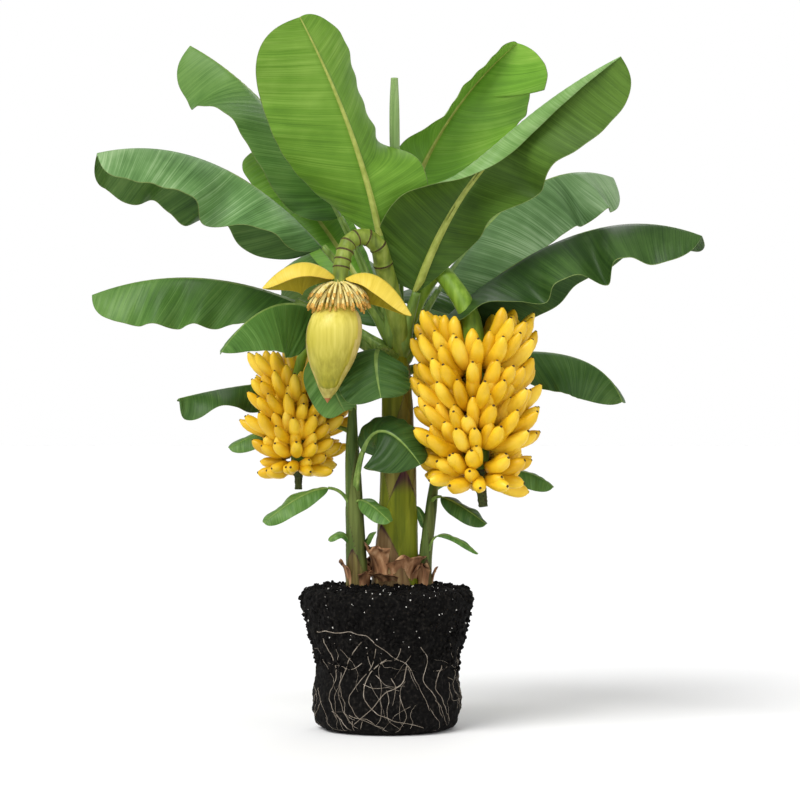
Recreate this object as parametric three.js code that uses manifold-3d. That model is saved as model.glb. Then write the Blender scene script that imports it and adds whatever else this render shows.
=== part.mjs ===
// Hardy banana plant in flower and fruit, standing on its own root ball.
// Millimetres, +Z up, the front of the plant towards -Y.
// The origin is the centre of the root ball's flat underside.

import * as THREE from "three";
import { LoftGeometry } from "three/addons/geometries/LoftGeometry.js";
import { mergeVertices } from "three/addons/utils/BufferGeometryUtils.js";
import Module from "manifold-3d";

const wasm = await Module();
wasm.setup();

// Driving dimensions
const CLEARANCE = 0.3;
const MERGE_DISTANCE = 1e-4;
const STEM_SIDES = 12;
const STALK_SIDES = 8;

// The root ball: radius and height of its outline, from the flat underside to the soil's top
const ROOT_BALL_HEIGHT = 360;
const ROOT_BALL_OUTLINE = [
  [152, 0], [170, 8], [181, 28], [187, 86], [181, 162], [196, 235], [211, 295], [220, 342], [208, 350],
  [132, ROOT_BALL_HEIGHT],
];
const ROOT_BALL_SIDES = 20;
const LUMP_HEIGHT = 4;
const LUMP_TURN_BY_SIDE = 2.4;
const LUMP_TURN_BY_ROW = 1.7;

// A leaf is this share of its rib's length thick, and its rib this much thicker again
const LEAF_THICKNESS_SHARE = 0.0105;
const LEAST_LEAF_THICKNESS = 1.2;
const RIB_THICKNESS_RATIO = 1.7;
const LARGE_LEAF = { stalk: 2, blade: 9 };
const WAVY_LEAF = { stalk: 2, blade: 17 };
const BRACT_LEAF = { stalk: 1, blade: 7 };
const SMALL_LEAF = { stalk: 1, blade: 4 };
const STALK_TAPER = 0.62;
const BLADE_POINTS = 10;
const TOP_POINTS = 5;
const TIP_THICKNESS_SHARE = 0.4;
const RIGHT_WAVE_SHIFT = 0.37;
const STILL = [0, 1, 0];
const LEAST_TURN = 1e-3;

// The outline of a half blade: where it is widest, then how full it is towards the base and the tip
const BLADE_SHAPE = [0.48, 2.3, 3.2];
const SMALL_BLADE_SHAPE = [0.42, 2, 2.2];

// The veins of a half run this share of its width forward
const SWEEP = 0.15;

// Colours of the pieces as they show
const COLOURS = {
  leaf: 0x5f8a33,
  bright_leaf: 0x86a63c,
  stem: 0x74762a,
  stalk: 0x8fa044,
  soil: 0x19181a,
  fruit: 0xe0ac1e,
  flower: 0xd8c64a,
  dry: 0x6b4526,
};
const ROUGHNESS = 0.6;

const degrees = THREE.MathUtils.degToRad;
const lerp = THREE.MathUtils.lerp;
const vector = (xyz) => new THREE.Vector3(...xyz);
const EAST = new THREE.Vector3(1, 0, 0);
const NORTH = new THREE.Vector3(0, 1, 0);

// The stems: points up their middle, with the radius at each
const MAIN_STEM = {
  path: [[22, 0], [24, 0], [27, 0], [26, 0], [25, 0]],
  heights: [ROOT_BALL_HEIGHT, 440, 640, 840, 1005],
  radii: [54, 49, 44, 41, 34],
};
const LEFT_SUCKER = {
  path: [[-72, -28], [-78, -28], [-86, -26], [-84, -24]],
  heights: [ROOT_BALL_HEIGHT, 480, 690, 845],
  radii: [27, 24, 19, 9],
};
const RIGHT_SUCKER = {
  path: [[94, -12], [97, -12], [112, -4], [122, 10]],
  heights: [ROOT_BALL_HEIGHT, 430, 570, 660],
  radii: [18, 16.5, 15, 7],
};

// Leaf stalks and bunch stalks start inside the main stem, at an angle round it from +X
const CROWN_RADIUS = 22;
const CROWN_CENTRE = MAIN_STEM.path.at(-1);
function crown(angle, height) {
  const [x, y] = CROWN_CENTRE;
  const turn = degrees(angle);
  return [x + CROWN_RADIUS * Math.cos(turn), y + CROWN_RADIUS * Math.sin(turn), height];
}

// The rolled new leaf that stands up out of the crown
const SPEAR = {
  points: [[24, 8, 990], [22, 14, 1230], [20, 16, 1440], [19, 16, 1560], [19, 15, 1628]],
  radii: [10, 10, 13, 13, 10],
  sides: STALK_SIDES,
  steps: 6,
};

// The flower's stalk rises out of the crown and hooks over to the left and the front.
// A hooked stalk is two limbs, which meet at the step named bend.
const BUD_TOP = [-120, -180, 1062];
const FLOWER_STALK = {
  points: [
    crown(290, 980), [14, -48, 1070], [-8, -86, 1150], [-22, -112, 1198],
    [-56, -130, 1220], [-90, -148, 1206], [-106, -165, 1166], [-116, -178, 1095], BUD_TOP,
  ],
  radii: [24, 24, 23, 21, 20, 20, 20, 19, 18],
  sides: STALK_SIDES,
  steps: 10,
  bend: 5,
};
const BUD = {
  points: [BUD_TOP, [-144, -187, 812]],
  radii: [26, 56, 67, 68, 63, 53, 38, 23, 5],
  sides: 12,
  steps: 8,
};

// Young flowers hang in a ring between the bracts and the bud
const FRINGE = {
  centre: [-117, -179, 1096],
  collarRadius: 30,
  collarHeight: 18,
  count: 10,
  length: 66,
  thickness: 14,
  elevations: [-28, -62],
  sides: 4,
  profile: [[0, 0.7], [0.6, 1], [1, 0.6]],
};

// Two bunches of fruit: hands of fingers in tiers down a hanging stalk
const RIGHT_BUNCH = {
  side: "right",
  stalk: {
    points: [
      crown(345, 985), [88, -14, 1090], [126, -34, 1138], [170, -66, 1092],
      [206, -92, 1020], [217, -100, 945], [230, -100, 612], [236, -100, 556],
    ],
    radii: [17, 20, 22, 24, 25, 25, 16, 10],
    sides: STALK_SIDES,
    steps: 12,
    bend: 4,
  },
  top: [212, -100, 942],
  foot: [222, -100, 634],
  tiers: 8,
  fingers: [7, 9],
  length: [98, 140],
  thickness: 43,
  collar: 40,
};
const LEFT_BUNCH = {
  side: "left",
  stalk: {
    points: [
      crown(165, 890), [-60, 16, 958], [-140, 24, 984], [-204, 38, 946],
      [-223, 40, 880], [-223, 40, 700], [-223, 40, 594],
    ],
    radii: [11, 11, 11, 11, 11, 10, 8],
    sides: STALK_SIDES,
    steps: 12,
    bend: 5,
  },
  top: [-226, 40, 872],
  foot: [-226, 40, 658],
  tiers: 6,
  fingers: [6, 8],
  length: [76, 112],
  thickness: 37,
  collar: 30,
};
const FINGER_SIDES = 5;
const FINGER_PROFILE = [[0, 0.42], [0.36, 1], [0.74, 0.92], [1, 0.3]];
const COLLAR_HEIGHT = 26;
const FINGER_SUNK = 6;
const TIER_CROWDING = 1.15;
const FULL_TIER_SHARE = 0.35;
const TIER_LIFT = 0.42;
const LOW_TIER_RISE = [-24, 2];
const HIGH_TIER_RISE = [8, 70];

// Each leaf follows a rib from its foot, through a bend, to its tip.
// stalk: bare share of the rib and its radius; half: width of its left and right half;
// face: where its upper side looks; left and right: how that half lies, as its angles at the
// rib and at its margin, at shares of the blade; wave: height, number and start of the waves;
// shapes and sweep: outline of each half, and how far forward its veins run.
const LARGE_LEAVES = [
  {
    name: "leaf_upright", colour: "bright_leaf",
    foot: crown(230, 985), bend: [-3, -82, 1360], tip: [-208, -260, 1739],
    stalk: [0.3, 15], half: [150, 186], face: [0.1, 1, 0.2], steps: WAVY_LEAF,
    left: [
      [0, 10, 35], [0.2, 5, 20], [0.26, 14, 36], [0.33, 56, 82], [0.42, 64, 86], [0.6, 64, 86],
      [0.7, 58, 80], [0.8, 48, 70], [0.9, 42, 64],
    ],
    right: [[0.1, 30, 42], [0.2, 16, 28], [0.3, 8, 16], [0.45, 8, 11], [0.6, 8, 0], [1, 10, 0]],
    shapes: [[0.45, 4, 2], [0.48, 2, 2.7]], sweep: [-0.06, 0.1],
  },
  {
    name: "leaf_left_high",
    foot: crown(150, 980), bend: [-188, 94, 1552], tip: [-518, 320, 1749],
    stalk: [0.33, 13], half: [150, 110], face: [0, -0.7, 0.7],
    left: [
      [0.08, 0, -20], [0.22, 18, 4], [0.37, 28, 12], [0.52, 32, 16], [0.66, 14, -6], [0.8, -24, -50],
      [1, -20, -44],
    ],
    right: [[0, -50, -80]],
    shapes: [[0.5, 2.6, 2.8], [0.5, 2.3, 3]], sweep: [0.1, SWEEP],
  },
  {
    name: "leaf_left_mid",
    foot: crown(197, 985), bend: [-338, -82, 1518], tip: [-703, -190, 1419],
    stalk: [0.3, 14], half: [160, 195], face: [0, -0.35, 0.93], steps: WAVY_LEAF,
    left: [
      [0.05, -12, -36], [0.14, 0, -26], [0.3, -14, -38], [0.43, -38, -72], [0.52, -16, -42],
      [0.7, -10, -34], [0.9, -8, -30],
    ],
    right: [
      [0.05, -58, -86], [0.16, -58, -86], [0.29, -42, -70], [0.37, -44, -72], [0.46, -64, -90],
      [0.56, -54, -80], [0.64, -44, -72], [0.78, -52, -80], [0.92, -42, -68],
    ],
    shapes: [BLADE_SHAPE, [0.48, 3.5, 3.2]],
  },
  {
    name: "leaf_left_low",
    foot: crown(185, 940), bend: [-400, 126, 1226], tip: [-760, 190, 1090],
    stalk: [0.33, 16], half: [140, 110], face: [0, -0.3, 0.95], steps: WAVY_LEAF,
    left: [
      [0.2, -28, -58], [0.31, -42, -72], [0.4, -28, -56], [0.52, -46, -74], [0.64, -28, -56],
      [0.73, -36, -64], [0.85, -28, -56],
    ],
    right: [[0, -30, -60]],
    shapes: [[0.48, 2.3, 2.4], BLADE_SHAPE],
  },
  {
    name: "leaf_left_front",
    foot: crown(222, 880), bend: [-235, -73, 1208], tip: [-391, -320, 934],
    stalk: [0.35, 14], half: [140, 80], face: [0, -0.3, 0.95],
    left: [[0.1, -55, -85], [0.4, -55, -85], [0.55, -42, -70], [0.7, -28, -56], [0.9, -12, -40]],
    right: [[0, -40, -60]], wave: [6, 2, 0.2],
    shapes: [[0.25, 3, 1.5], [0.45, 2.3, 1.9]],
  },
  {
    name: "leaf_back_left",
    foot: crown(125, 965), bend: [-176, 131, 1340], tip: [-362, 400, 1476],
    stalk: [0.2, 12], half: [75, 85], face: [0, -0.8, 0.5],
    left: [[0, 0, -30]], right: [[0, 0, -30]], wave: [8, 2, 0],
  },
  {
    name: "leaf_right_high", colour: "bright_leaf",
    foot: crown(50, 985), bend: [-25, 67, 1416], tip: [338, 290, 1752],
    stalk: [0.36, 14], half: [100, 165], face: [0.2, -1, 0.4],
    left: [[0.1, 10, 25], [0.22, 36, 56], [0.35, 66, 88], [0.6, 76, 98], [0.8, 72, 94], [1, 56, 78]],
    right: [[0.3, 0, -20], [0.6, 0, -22], [0.65, 8, -8], [1, 4, -10]], wave: [4, 2.5, 0.3],
    shapes: [[0.35, 3, 1.6], [0.5, 2.3, 1.7]], sweep: [0, 0.7],
  },
  {
    name: "leaf_right_big",
    foot: crown(318, 965), bend: [138, -123, 1431], tip: [556, -340, 1634],
    stalk: [0.14, 18], half: [150, 145], face: [0, 1, 0.5],
    left: [
      [0.18, -10, -30], [0.36, -40, -70], [0.47, -10, -40], [0.59, -38, -66], [0.77, -25, -52],
      [1, -20, -45],
    ],
    right: [[0.1, 20, 6], [0.28, 0, -35], [0.4, -20, -90], [0.55, -40, -130], [1, -60, -130]],
    shapes: [[0.5, 1.3, 3], [0.2, 3, 1.1]], sweep: [SWEEP, 0.05],
  },
  {
    name: "leaf_right_back",
    foot: crown(30, 945), bend: [318, 144, 1484], tip: [599, 420, 1412],
    stalk: [0.2, 12], half: [110, 150], face: [0, -0.5, 0.87], steps: WAVY_LEAF,
    left: [[0, -40, -70]],
    right: [
      [0.3, -15, -45], [0.5, -28, -56], [0.62, -24, -50], [0.72, -36, -64], [0.79, -12, -38],
      [0.88, -22, -48],
    ],
    shapes: [[0.48, 2.6, 2], [0.48, 2.6, 3.4]], sweep: [0, 0.05],
  },
  {
    name: "leaf_right_mid",
    foot: crown(0, 930), bend: [450, -65, 1356], tip: [765, -190, 1218],
    stalk: [0.12, 14], half: [160, 165], face: [0, -0.35, 0.93], steps: WAVY_LEAF,
    left: [
      [0.2, -74, -98], [0.36, -70, -94], [0.44, -52, -78], [0.55, -45, -75], [0.68, -30, -60],
    ],
    right: [
      [0.12, 10, 0], [0.2, 10, -8], [0.27, -2, -28], [0.35, -16, -48], [0.42, -5, -34], [0.47, -4, -32],
      [0.54, -10, -38], [0.62, -32, -62], [0.69, -5, -32], [0.75, -4, -30], [0.84, -16, -42], [1, -12, -38],
    ],
    shapes: [[0.45, 2.6, 3], [0.45, 2.6, 2.6]],
  },
  {
    name: "leaf_right_low",
    foot: crown(60, 890), bend: [534, 240, 1030], tip: [598, 120, 815],
    stalk: [0.42, 11], half: [110, 125], face: [0, -0.3, 0.95],
    left: [[0, -30, -60]], right: [[0, -20, -60]], wave: [8, 2, 0.1],
    shapes: [[0.35, 2.3, 1.8], [0.35, 2.3, 1.8]],
  },
  {
    name: "leaf_front_high",
    foot: crown(255, 930), bend: [-50, -150, 1000], tip: [-14, -165, 825],
    stalk: [0.42, 10], half: [86, 98], face: [0, -1, 0.9],
    left: [[0, -5, -30]], right: [[0, -5, -30]], wave: [5, 1.5, 0],
  },
  {
    name: "leaf_front_low",
    foot: [-81, -24, 560], bend: [-60, -140, 866], tip: [82, -160, 662],
    stalk: [0.4, 10], half: [60, 108], face: [0, -1, 0.7],
    left: [[0, -5, -30]], right: [[0, -5, -24]], wave: [4, 1.5, 0.5],
    shapes: [[0.5, 2.4, 2.4], [0.5, 2.4, 2.4]], sweep: [SWEEP, -0.1],
  },
  {
    name: "leaf_below_bud",
    foot: [-85, -26, 800], bend: [-190, -150, 962], tip: [-104, -125, 792],
    stalk: [0.3, 8], half: [58, 62], face: [0, -1, 0.2],
    left: [[0, -2, -8]], right: [[0, -2, -8]], wave: [3, 1.5, 0.2],
  },
  {
    name: "leaf_back",
    foot: crown(85, 965), bend: [120, 260, 1240], tip: [240, 540, 1010],
    stalk: [0.26, 14], half: [135, 135], face: [0, -0.5, 0.85],
    left: [[0, -5, -45]], right: [[0, -5, -45]], wave: [12, 2.5, 0.2],
  },
  {
    name: "leaf_back_low",
    foot: crown(110, 915), bend: [-130, 270, 1430], tip: [-240, 480, 1080],
    stalk: [0.15, 12], half: [130, 130], face: [0, 0, 1],
    left: [[0, -10, -45]], right: [[0, -10, -45]], wave: [10, 2.5, 0.6],
  },
];

const SMALL_LEAVES = [
  {
    name: "small_leaf_left_high",
    foot: crown(135, 850), bend: [-250, 300, 900], tip: [-525, 60, 824],
    stalk: [0.35, 7], half: [74, 40], face: [0, -0.4, 0.9],
    left: [[0.3, -45, -75], [0.45, -50, -70], [0.62, -10, -30], [0.85, -10, -32], [0.97, -55, -80]],
    right: [[0, -30, -60]],
    shapes: [[0.45, 2, 5], [0.45, 2, 3]],
  },
  {
    name: "small_leaf_left_mid",
    foot: [-87, -18, 740], bend: [-230, 120, 800], tip: [-400, 80, 698],
    stalk: [0.4, 6], half: [45, 45], face: [0, -0.5, 0.85],
    left: [[0, -10, -40]], right: [[0, -10, -40]], wave: [4, 2, 0],
  },
  {
    name: "small_leaf_left_low",
    foot: [-85, -28, 530], bend: [-112, -52, 680], tip: [-302, -110, 518],
    stalk: [0.36, 6], half: [38, 38], face: [0, -0.5, 0.85],
    left: [[0, -10, -40]], right: [[0, -10, -40]], wave: [5, 2, 0],
  },
  {
    name: "small_leaf_left_front",
    foot: [-80, -30, 535], bend: [-88, -50, 616], tip: [8, -110, 520],
    stalk: [0.3, 5], half: [32, 32], face: [0.2, -0.8, 0.8],
    left: [[0, -10, -30]], right: [[0, -10, -30]], wave: [3, 2, 0],
  },
  {
    name: "small_leaf_left_foot",
    foot: [-82, -30, 425], bend: [-96, -50, 522], tip: [-143, -70, 471],
    stalk: [0.35, 4], half: [14, 14], face: [0, -0.6, 0.8],
    left: [[0, -10, -30]], right: [[0, -10, -30]], wave: [1, 2, 0],
  },
  {
    name: "small_leaf_gap",
    foot: [-58, -25, 425], bend: [-52, -28, 486], tip: [-27, -40, 492],
    stalk: [0.35, 4], half: [10, 10], face: [0, -0.6, 0.8],
    left: [[0, -10, -30]], right: [[0, -10, -30]], wave: [1, 2, 0],
  },
  {
    name: "small_leaf_right_high",
    foot: [119, 4, 600], bend: [322, 90, 690], tip: [419, 60, 600],
    stalk: [0.5, 6], half: [44, 44], face: [0, -0.5, 0.85],
    left: [[0, -20, -50]], right: [[0, -20, -50]], wave: [4, 2, 0],
  },
  {
    name: "small_leaf_right_low",
    foot: [111, -8, 560], bend: [116, -45, 616], tip: [245, -90, 514],
    stalk: [0.25, 6], half: [36, 36], face: [0, -0.5, 0.85],
    left: [[0, -15, -40]], right: [[0, -15, -40]], wave: [4, 2, 0],
  },
  {
    name: "small_leaf_right_gap",
    foot: [100, -10, 470], bend: [86, -10, 556], tip: [67, -10, 550],
    stalk: [0.3, 4], half: [12, 12], face: [0, -0.8, 0.5],
    left: [[0, -10, -30]], right: [[0, -10, -30]], wave: [1, 2, 0],
  },
  {
    name: "small_leaf_right_foot",
    foot: [103, -15, 410], bend: [100, -42, 546], tip: [226, -60, 439],
    stalk: [0.4, 4], half: [13, 13], face: [0, -0.5, 0.85],
    left: [[0, -15, -40]], right: [[0, -15, -40]], wave: [2, 2, 0],
  },
];

// Bracts and dry sheaths are short leaves with hardly any stalk
const BRACT_NEAR = [[0, -10, -55]];
const BRACT_FAR = [[0, -70, -100]];
const BRACT_NEAR_SHAPE = [0.45, 1.8, 1.6];
const BRACT_FAR_SHAPE = [0.5, 1.5, 1.4];
const BRACTS = [
  {
    name: "bract_left", colour: "flower", steps: BRACT_LEAF,
    foot: [-112, -178, 1108], bend: [-206, -204, 1208], tip: [-300, -212, 1090],
    stalk: [0.06, 12], half: [48, 86], face: [0, -0.3, 0.95],
    left: BRACT_NEAR, right: BRACT_FAR,
    shapes: [BRACT_NEAR_SHAPE, BRACT_FAR_SHAPE], sweep: [0, 0],
  },
  {
    name: "bract_right", colour: "flower", steps: BRACT_LEAF,
    foot: [-112, -180, 1108], bend: [-20, -208, 1176], tip: [60, -216, 1024],
    stalk: [0.06, 12], half: [78, 50], face: [0, -0.3, 0.95],
    left: BRACT_FAR, right: BRACT_NEAR,
    shapes: [BRACT_FAR_SHAPE, BRACT_NEAR_SHAPE], sweep: [0, 0],
  },
];
const SHEATH_LIE = [[0, -20, -45]];
const DRY_SHEATHS = [
  {
    name: "dry_sheath_left", colour: "dry",
    foot: [-58, -60, 361], bend: [-66, -62, 420], tip: [-74, -60, 456],
    stalk: [0.06, 9], half: [26, 26], face: [0, -1, 0.1],
    left: SHEATH_LIE, right: SHEATH_LIE, wave: [2, 1.5, 0],
  },
  {
    name: "dry_sheath_front", colour: "dry",
    foot: [24, -62, 361], bend: [20, -66, 400], tip: [14, -62, 430],
    stalk: [0.06, 9], half: [34, 30], face: [0, -1, 0.1],
    left: SHEATH_LIE, right: SHEATH_LIE, wave: [2, 1.5, 0.3],
  },
  {
    name: "dry_sheath_right", colour: "dry",
    foot: [88, -38, 361], bend: [92, -42, 400], tip: [98, -38, 428],
    stalk: [0.06, 7], half: [18, 16], face: [0.2, -1, 0.1],
    left: SHEATH_LIE, right: SHEATH_LIE, wave: [2, 1.5, 0.6],
  },
];

// A closed geometry becomes a solid that can be joined and cut
function solidOf(geometry) {
  const bare = new THREE.BufferGeometry();
  bare.setAttribute("position", geometry.getAttribute("position"));
  bare.setIndex(geometry.getIndex());
  const merged = mergeVertices(bare, MERGE_DISTANCE);
  return new wasm.Manifold(new wasm.Mesh({
    numProp: 3,
    vertProperties: merged.getAttribute("position").array,
    triVerts: Uint32Array.from(merged.getIndex().array),
  }));
}

function geometryOf(solid) {
  const mesh = solid.getMesh();
  const geometry = new THREE.BufferGeometry();
  geometry.setAttribute("position", new THREE.BufferAttribute(mesh.vertProperties, mesh.numProp));
  geometry.setIndex(new THREE.BufferAttribute(mesh.triVerts, 1));
  return geometry;
}

function loft(sections) {
  return solidOf(new LoftGeometry(sections, { capStart: true, capEnd: true }));
}

// A skin over blade sections: the top and the underside are creased alike, so a thin wavy
// blade keeps its thickness, and both ends are closed
function bladeSkin(sections) {
  const rows = sections.length;
  const columns = BLADE_POINTS;
  const indices = [];
  for (let row = 0; row < rows - 1; row += 1) {
    for (let column = 0; column < columns; column += 1) {
      const next = (column + 1) % columns;
      const a = row * columns + column;
      const b = row * columns + next;
      const c = (row + 1) * columns + next;
      const d = (row + 1) * columns + column;
      if (column < TOP_POINTS - 1) {
        indices.push(a, b, d, b, c, d);
      } else {
        indices.push(a, b, c, a, c, d);
      }
    }
  }
  const last = (rows - 1) * columns;
  for (let column = 1; column < columns - 1; column += 1) {
    indices.push(0, column + 1, column);
    indices.push(last, last + column, last + column + 1);
  }
  const geometry = new THREE.BufferGeometry().setFromPoints(sections.flat());
  geometry.setIndex(indices);
  return solidOf(geometry);
}

// A ring of points round a place on a path, in the plane across it
function ring(centre, across, over, radius, sides) {
  return Array.from({ length: sides }, (_, index) => {
    const angle = (2 * Math.PI * index) / sides;
    return centre.clone()
      .addScaledVector(across, radius * Math.cos(angle))
      .addScaledVector(over, radius * Math.sin(angle));
  });
}

// A list of radii read at a share of its length
function profileAt(radii, share) {
  const place = share * (radii.length - 1);
  const index = Math.min(Math.floor(place), radii.length - 2);
  return lerp(radii[index], radii[index + 1], place - index);
}

// A tapering round limb through points, from its first step to its last,
// longer by grow at both ends and thicker by grow
function limb({ points, radii, sides, steps }, grow, first = 0, last = steps) {
  const curve = new THREE.CatmullRomCurve3(points.map(vector), false, "centripetal");
  const frames = curve.computeFrenetFrames(steps);
  const sections = [];
  for (let step = first; step <= last; step += 1) {
    const share = step / steps;
    const along = step === first ? -grow : step === last ? grow : 0;
    const centre = curve.getPointAt(share).addScaledVector(frames.tangents[step], along);
    const radius = profileAt(radii, share) + grow;
    sections.push(ring(centre, frames.normals[step], frames.binormals[step], radius, sides));
  }
  return loft(sections);
}

// A stem stands on the soil with a flat cut, so its rings stay level
function stem({ path, heights, radii }, grow) {
  const sections = heights.map((height, index) => {
    const lift = index === 0 ? CLEARANCE - grow : index === heights.length - 1 ? grow : 0;
    const centre = new THREE.Vector3(...path[index], height + lift);
    return ring(centre, EAST, NORTH, radii[index] + grow, STEM_SIDES);
  });
  return loft(sections);
}

// The root ball: a lumpy tapered drum with a flat underside and a slightly crowned top
function rootBall(grow) {
  const sections = ROOT_BALL_OUTLINE.map(([radius, height], row) => {
    const lumpy = row > 1 && row < ROOT_BALL_OUTLINE.length - 1;
    const points = ring(new THREE.Vector3(0, 0, height), EAST, NORTH, radius + grow, ROOT_BALL_SIDES);
    points.forEach((point, side) => {
      const lump = lumpy ? LUMP_HEIGHT * Math.sin(side * LUMP_TURN_BY_SIDE + row * LUMP_TURN_BY_ROW) : 0;
      const stretch = 1 + lump / radius;
      point.x *= stretch;
      point.y *= stretch;
    });
    return points;
  });
  return loft(sections);
}

// The width of a half blade along its length, rounded at both ends
function bladeOutline(share, [widest, base, tip]) {
  const towardsTip = share > widest;
  const off = towardsTip ? (share - widest) / (1 - widest) : (widest - share) / widest;
  const fullness = towardsTip ? tip : base;
  return Math.max(0, 1 - off ** fullness) ** (1 / fullness);
}

// The angles of a half blade at its rib and at its margin, at a share of its length
function lieAt(keys, share) {
  const after = keys.findIndex(([place]) => place >= share);
  if (after === 0) {
    return keys[0].slice(1);
  }
  if (after < 0) {
    return keys.at(-1).slice(1);
  }
  const [fromPlace, ...from] = keys[after - 1];
  const [toPlace, ...to] = keys[after];
  return from.map((angle, end) => lerp(angle, to[end], (share - fromPlace) / (toPlace - fromPlace)));
}

// One half of a blade leaves the rib at one angle and bends evenly to another at its margin
function halfPoint([ribAngle, marginAngle], width, reach) {
  const start = degrees(ribAngle);
  const turn = degrees(marginAngle) - start || LEAST_TURN;
  const angle = start + turn * reach;
  return {
    out: (width * (Math.sin(angle) - Math.sin(start))) / turn,
    up: (width * (Math.cos(start) - Math.cos(angle))) / turn,
    angle,
  };
}

// A leaf: a round stalk that flattens into a folded, wavy blade with a thicker rib
function leafSolid(leaf, steps, ownShape, grow) {
  const rib = new THREE.QuadraticBezierCurve3(vector(leaf.foot), vector(leaf.bend), vector(leaf.tip));
  const length = rib.getLength();
  const thickness = Math.max(LEAF_THICKNESS_SHARE * length, LEAST_LEAF_THICKNESS) + 2 * grow;
  const [bareShare, stalkRadius] = leaf.stalk;
  const [waveHeight, waveCount, waveStart] = leaf.wave ?? STILL;
  const shapes = leaf.shapes ?? [ownShape, ownShape];
  const sweep = leaf.sweep ?? [SWEEP, SWEEP];
  const upperSide = vector(leaf.face);
  const sections = [];

  function frameAt(share) {
    const along = rib.getTangentAt(share);
    const over = upperSide.clone().addScaledVector(along, -upperSide.dot(along)).normalize();
    const across = new THREE.Vector3().crossVectors(over, along);
    return { point: rib.getPointAt(share), along, over, across };
  }

  // A round section whose points match those of a blade section
  function roundSection(share, radius, shift) {
    const { point, along, over, across } = frameAt(share);
    point.addScaledVector(along, shift);
    const half = Math.PI / BLADE_POINTS;
    const first = across.clone().multiplyScalar(Math.cos(half)).addScaledVector(over, Math.sin(half));
    const second = over.clone().multiplyScalar(Math.cos(half)).addScaledVector(across, -Math.sin(half));
    return ring(point, first, second, radius, BLADE_POINTS);
  }

  for (let step = 0; step <= steps.stalk; step += 1) {
    const share = step / steps.stalk;
    const radius = stalkRadius * lerp(1, STALK_TAPER, share) + grow;
    sections.push(roundSection(bareShare * share, radius, step === 0 ? -grow : 0));
  }

  for (let step = 1; step < steps.blade; step += 1) {
    const share = 0.5 - 0.5 * Math.cos((Math.PI * step) / steps.blade);
    const { point, along, over, across } = frameAt(lerp(bareShare, 1, share));
    const ribRadius = lerp(stalkRadius * STALK_TAPER, thickness / 2, share);
    const keel = (ribRadius * RIB_THICKNESS_RATIO + thickness) / 2;

    // The middle of the blade and its upward direction, out to one side of the rib
    const bladePoint = (sideSign, reach) => {
      const index = sideSign > 0 ? 0 : 1;
      const outline = bladeOutline(share, shapes[index]);
      const width = Math.max(leaf.half[index] * outline, thickness) + grow;
      const lie = lieAt(sideSign > 0 ? leaf.left : leaf.right, share);
      const { out, up, angle } = halfPoint(lie, width, reach);
      const normal = over.clone().multiplyScalar(Math.cos(angle))
        .addScaledVector(across, -sideSign * Math.sin(angle));
      const phase = waveCount * share + waveStart + (sideSign > 0 ? 0 : RIGHT_WAVE_SHIFT);
      const wave = waveHeight * outline * reach * reach * Math.sin(2 * Math.PI * phase);
      const middle = point.clone()
        .addScaledVector(across, sideSign * out)
        .addScaledVector(over, up)
        .addScaledVector(along, sweep[index] * width * reach * reach)
        .addScaledVector(normal, wave);
      return { middle, normal };
    };
    const top = (sideSign, reach) => {
      const { middle, normal } = bladePoint(sideSign, reach);
      return middle.addScaledVector(normal, thickness / 2);
    };
    const under = (sideSign, reach) => {
      const { middle, normal } = bladePoint(sideSign, reach);
      return middle.addScaledVector(normal, -thickness / 2);
    };
    sections.push([
      top(1, 1), top(1, 0.5),
      point.clone().addScaledVector(over, thickness / 2),
      top(-1, 0.5), top(-1, 1),
      under(-1, 1), under(-1, 0.5),
      point.clone().addScaledVector(over, -keel),
      under(1, 0.5), under(1, 1),
    ]);
  }
  sections.push(roundSection(1, thickness * TIP_THICKNESS_SHARE, grow));
  return bladeSkin(sections);
}

// A finger leaves its collar at one elevation and bends to another
function finger({ centre, heading, start, length, thickness, elevations, sides, profile }, grow) {
  const out = new THREE.Vector3(Math.cos(heading), Math.sin(heading), 0);
  const aside = new THREE.Vector3(-Math.sin(heading), Math.cos(heading), 0);
  const place = centre.clone().addScaledVector(out, start);
  let reached = 0;
  const sections = profile.map(([share, fullness], step) => {
    const elevation = degrees(lerp(elevations[0], elevations[1], (share + reached) / 2));
    const along = out.clone().multiplyScalar(Math.cos(elevation));
    along.z = Math.sin(elevation);
    place.addScaledVector(along, length * (share - reached));
    reached = share;
    const over = new THREE.Vector3().crossVectors(along, aside);
    const end = place.clone().addScaledVector(along, step === profile.length - 1 ? grow : 0);
    return ring(end, aside, over, (thickness / 2) * fullness + grow, sides);
  });
  return loft(sections);
}

// A collar with one flat side for each finger that stands out of it
function collar(centre, radius, height, sides, turn, grow) {
  const east = new THREE.Vector3(Math.cos(turn), Math.sin(turn), 0);
  const north = new THREE.Vector3(-Math.sin(turn), Math.cos(turn), 0);
  const sections = [-1, 1].map((end) => {
    const middle = centre.clone();
    middle.z += end * (height / 2 + grow);
    return ring(middle, east, north, radius + grow, sides);
  });
  return loft(sections);
}

// A full ring of fingers on their collar
function whorl(centre, count, turn, collarSize, fingerSize, grow) {
  const step = (2 * Math.PI) / count;
  let solid = collar(centre, collarSize.radius, collarSize.height, count, turn - step / 2, grow);
  for (let index = 0; index < count; index += 1) {
    const heading = turn + index * step;
    const start = collarSize.radius * Math.cos(step / 2) - FINGER_SUNK;
    solid = solid.add(finger({ ...fingerSize, centre, heading, start }, grow));
  }
  return solid;
}

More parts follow.
